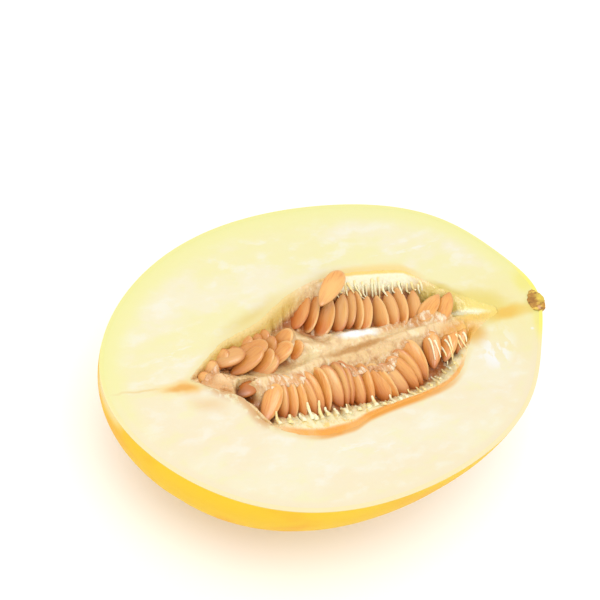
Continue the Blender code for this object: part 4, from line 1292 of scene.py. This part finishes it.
class MELON_OT_stage(bpy.types.Operator):
    """Adds the pale floor, the soft studio lights and the camera"""

    bl_idname = "melon.stage"
    bl_label = "Stage"

    def execute(self, context):
        select_only()
        bpy.ops.mesh.primitive_plane_add(size=FLOOR_SIZE)
        floor = context.object
        floor.name = "floor"
        white = Surface("floor_white", 0.9, Base_Color=FLOOR_COLOUR, Specular_IOR_Level=0.1)
        floor.data.materials.append(white.material)
        for name, place, size, power in LAMPS:
            self.lamp(name, place, size, power)
        world = bpy.data.worlds.new("studio")
        world.use_nodes = True
        sky = world.node_tree.nodes["Background"]
        sky.inputs["Color"].default_value = SKY_COLOUR
        sky.inputs["Strength"].default_value = SKY_STRENGTH
        context.scene.world = world
        context.scene.view_settings.view_transform = "Standard"
        self.camera(context)
        return {"FINISHED"}

    def lamp(self, name, place, size, power):
        """A round soft lamp, aimed at the middle of the cut face."""
        right, up, back = place
        from_melon = CAMERA_RIGHT * right + CAMERA_UP * up + CAMERA_BACK * back
        select_only()
        bpy.ops.object.light_add(type="AREA", location=from_melon + Vector((0, 0, CUT_HEIGHT)))
        lamp = bpy.context.object
        lamp.name = name
        lamp.data.shape = "DISK"
        lamp.data.size = size
        lamp.data.energy = power
        lamp.rotation_mode = "QUATERNION"
        lamp.rotation_quaternion = (-from_melon).to_track_quat("-Z", "Y")

    def camera(self, context):
        """A camera that sees the cut face as the photo's does."""
        eye = CAMERA_BACK * CAMERA_DISTANCE + CAMERA_RIGHT * CAMERA_SHIFT[0] + CAMERA_UP * CAMERA_SHIFT[1]
        eye = (eye + Vector((0, CAMERA_AIM_Y, 0))) * MM + Vector((0, 0, CUT_HEIGHT))
        select_only()
        bpy.ops.object.camera_add(location=eye)
        camera = context.object
        camera.name = "photo_camera"
        axes = Matrix([axis.normalized() for axis in (CAMERA_RIGHT, CAMERA_UP, CAMERA_BACK)]).transposed()
        camera.rotation_mode = "QUATERNION"
        camera.rotation_quaternion = axes.to_quaternion()
        camera.data.sensor_width = SENSOR_WIDTH
        camera.data.lens = FOCAL_PIXELS / PHOTO_PIXELS * SENSOR_WIDTH
        camera.data.clip_start, camera.data.clip_end = 0.01, 20
        context.scene.camera = camera


class MELON_PT_panel(bpy.types.Panel):
    """Lists the melon's pieces, sizes and colours"""

    bl_label = "Melon half"
    bl_idname = "MELON_PT_panel"
    bl_space_type = "VIEW_3D"
    bl_region_type = "UI"
    bl_category = "Melon"

    def draw(self, context):
        for operator in PIECES:
            self.layout.operator(operator.bl_idname)
        for group in (context.scene.melon_sizes, context.scene.melon_colours):
            column = self.layout.column()
            for name in group.__annotations__:
                column.prop(group, name)


PIECES = (
    MELON_OT_rind, MELON_OT_flesh, MELON_OT_pulp, MELON_OT_seeds, MELON_OT_fibres, MELON_OT_stem,
    MELON_OT_stage,
)
CLASSES = (MelonSizes, MelonColours, *PIECES, MELON_PT_panel)


def register():
    for item in CLASSES:
        bpy.utils.register_class(item)
    bpy.types.Scene.melon_sizes = PointerProperty(type=MelonSizes)
    bpy.types.Scene.melon_colours = PointerProperty(type=MelonColours)


def unregister():
    del bpy.types.Scene.melon_colours
    del bpy.types.Scene.melon_sizes
    for item in reversed(CLASSES):
        bpy.utils.unregister_class(item)


def main():
    register()
    bpy.ops.melon.rind()
    bpy.ops.melon.flesh()
    bpy.ops.melon.pulp()
    bpy.ops.melon.seeds()
    bpy.ops.melon.fibres()
    bpy.ops.melon.stem()
    bpy.ops.melon.stage()


if __name__ == "__main__":
    main()
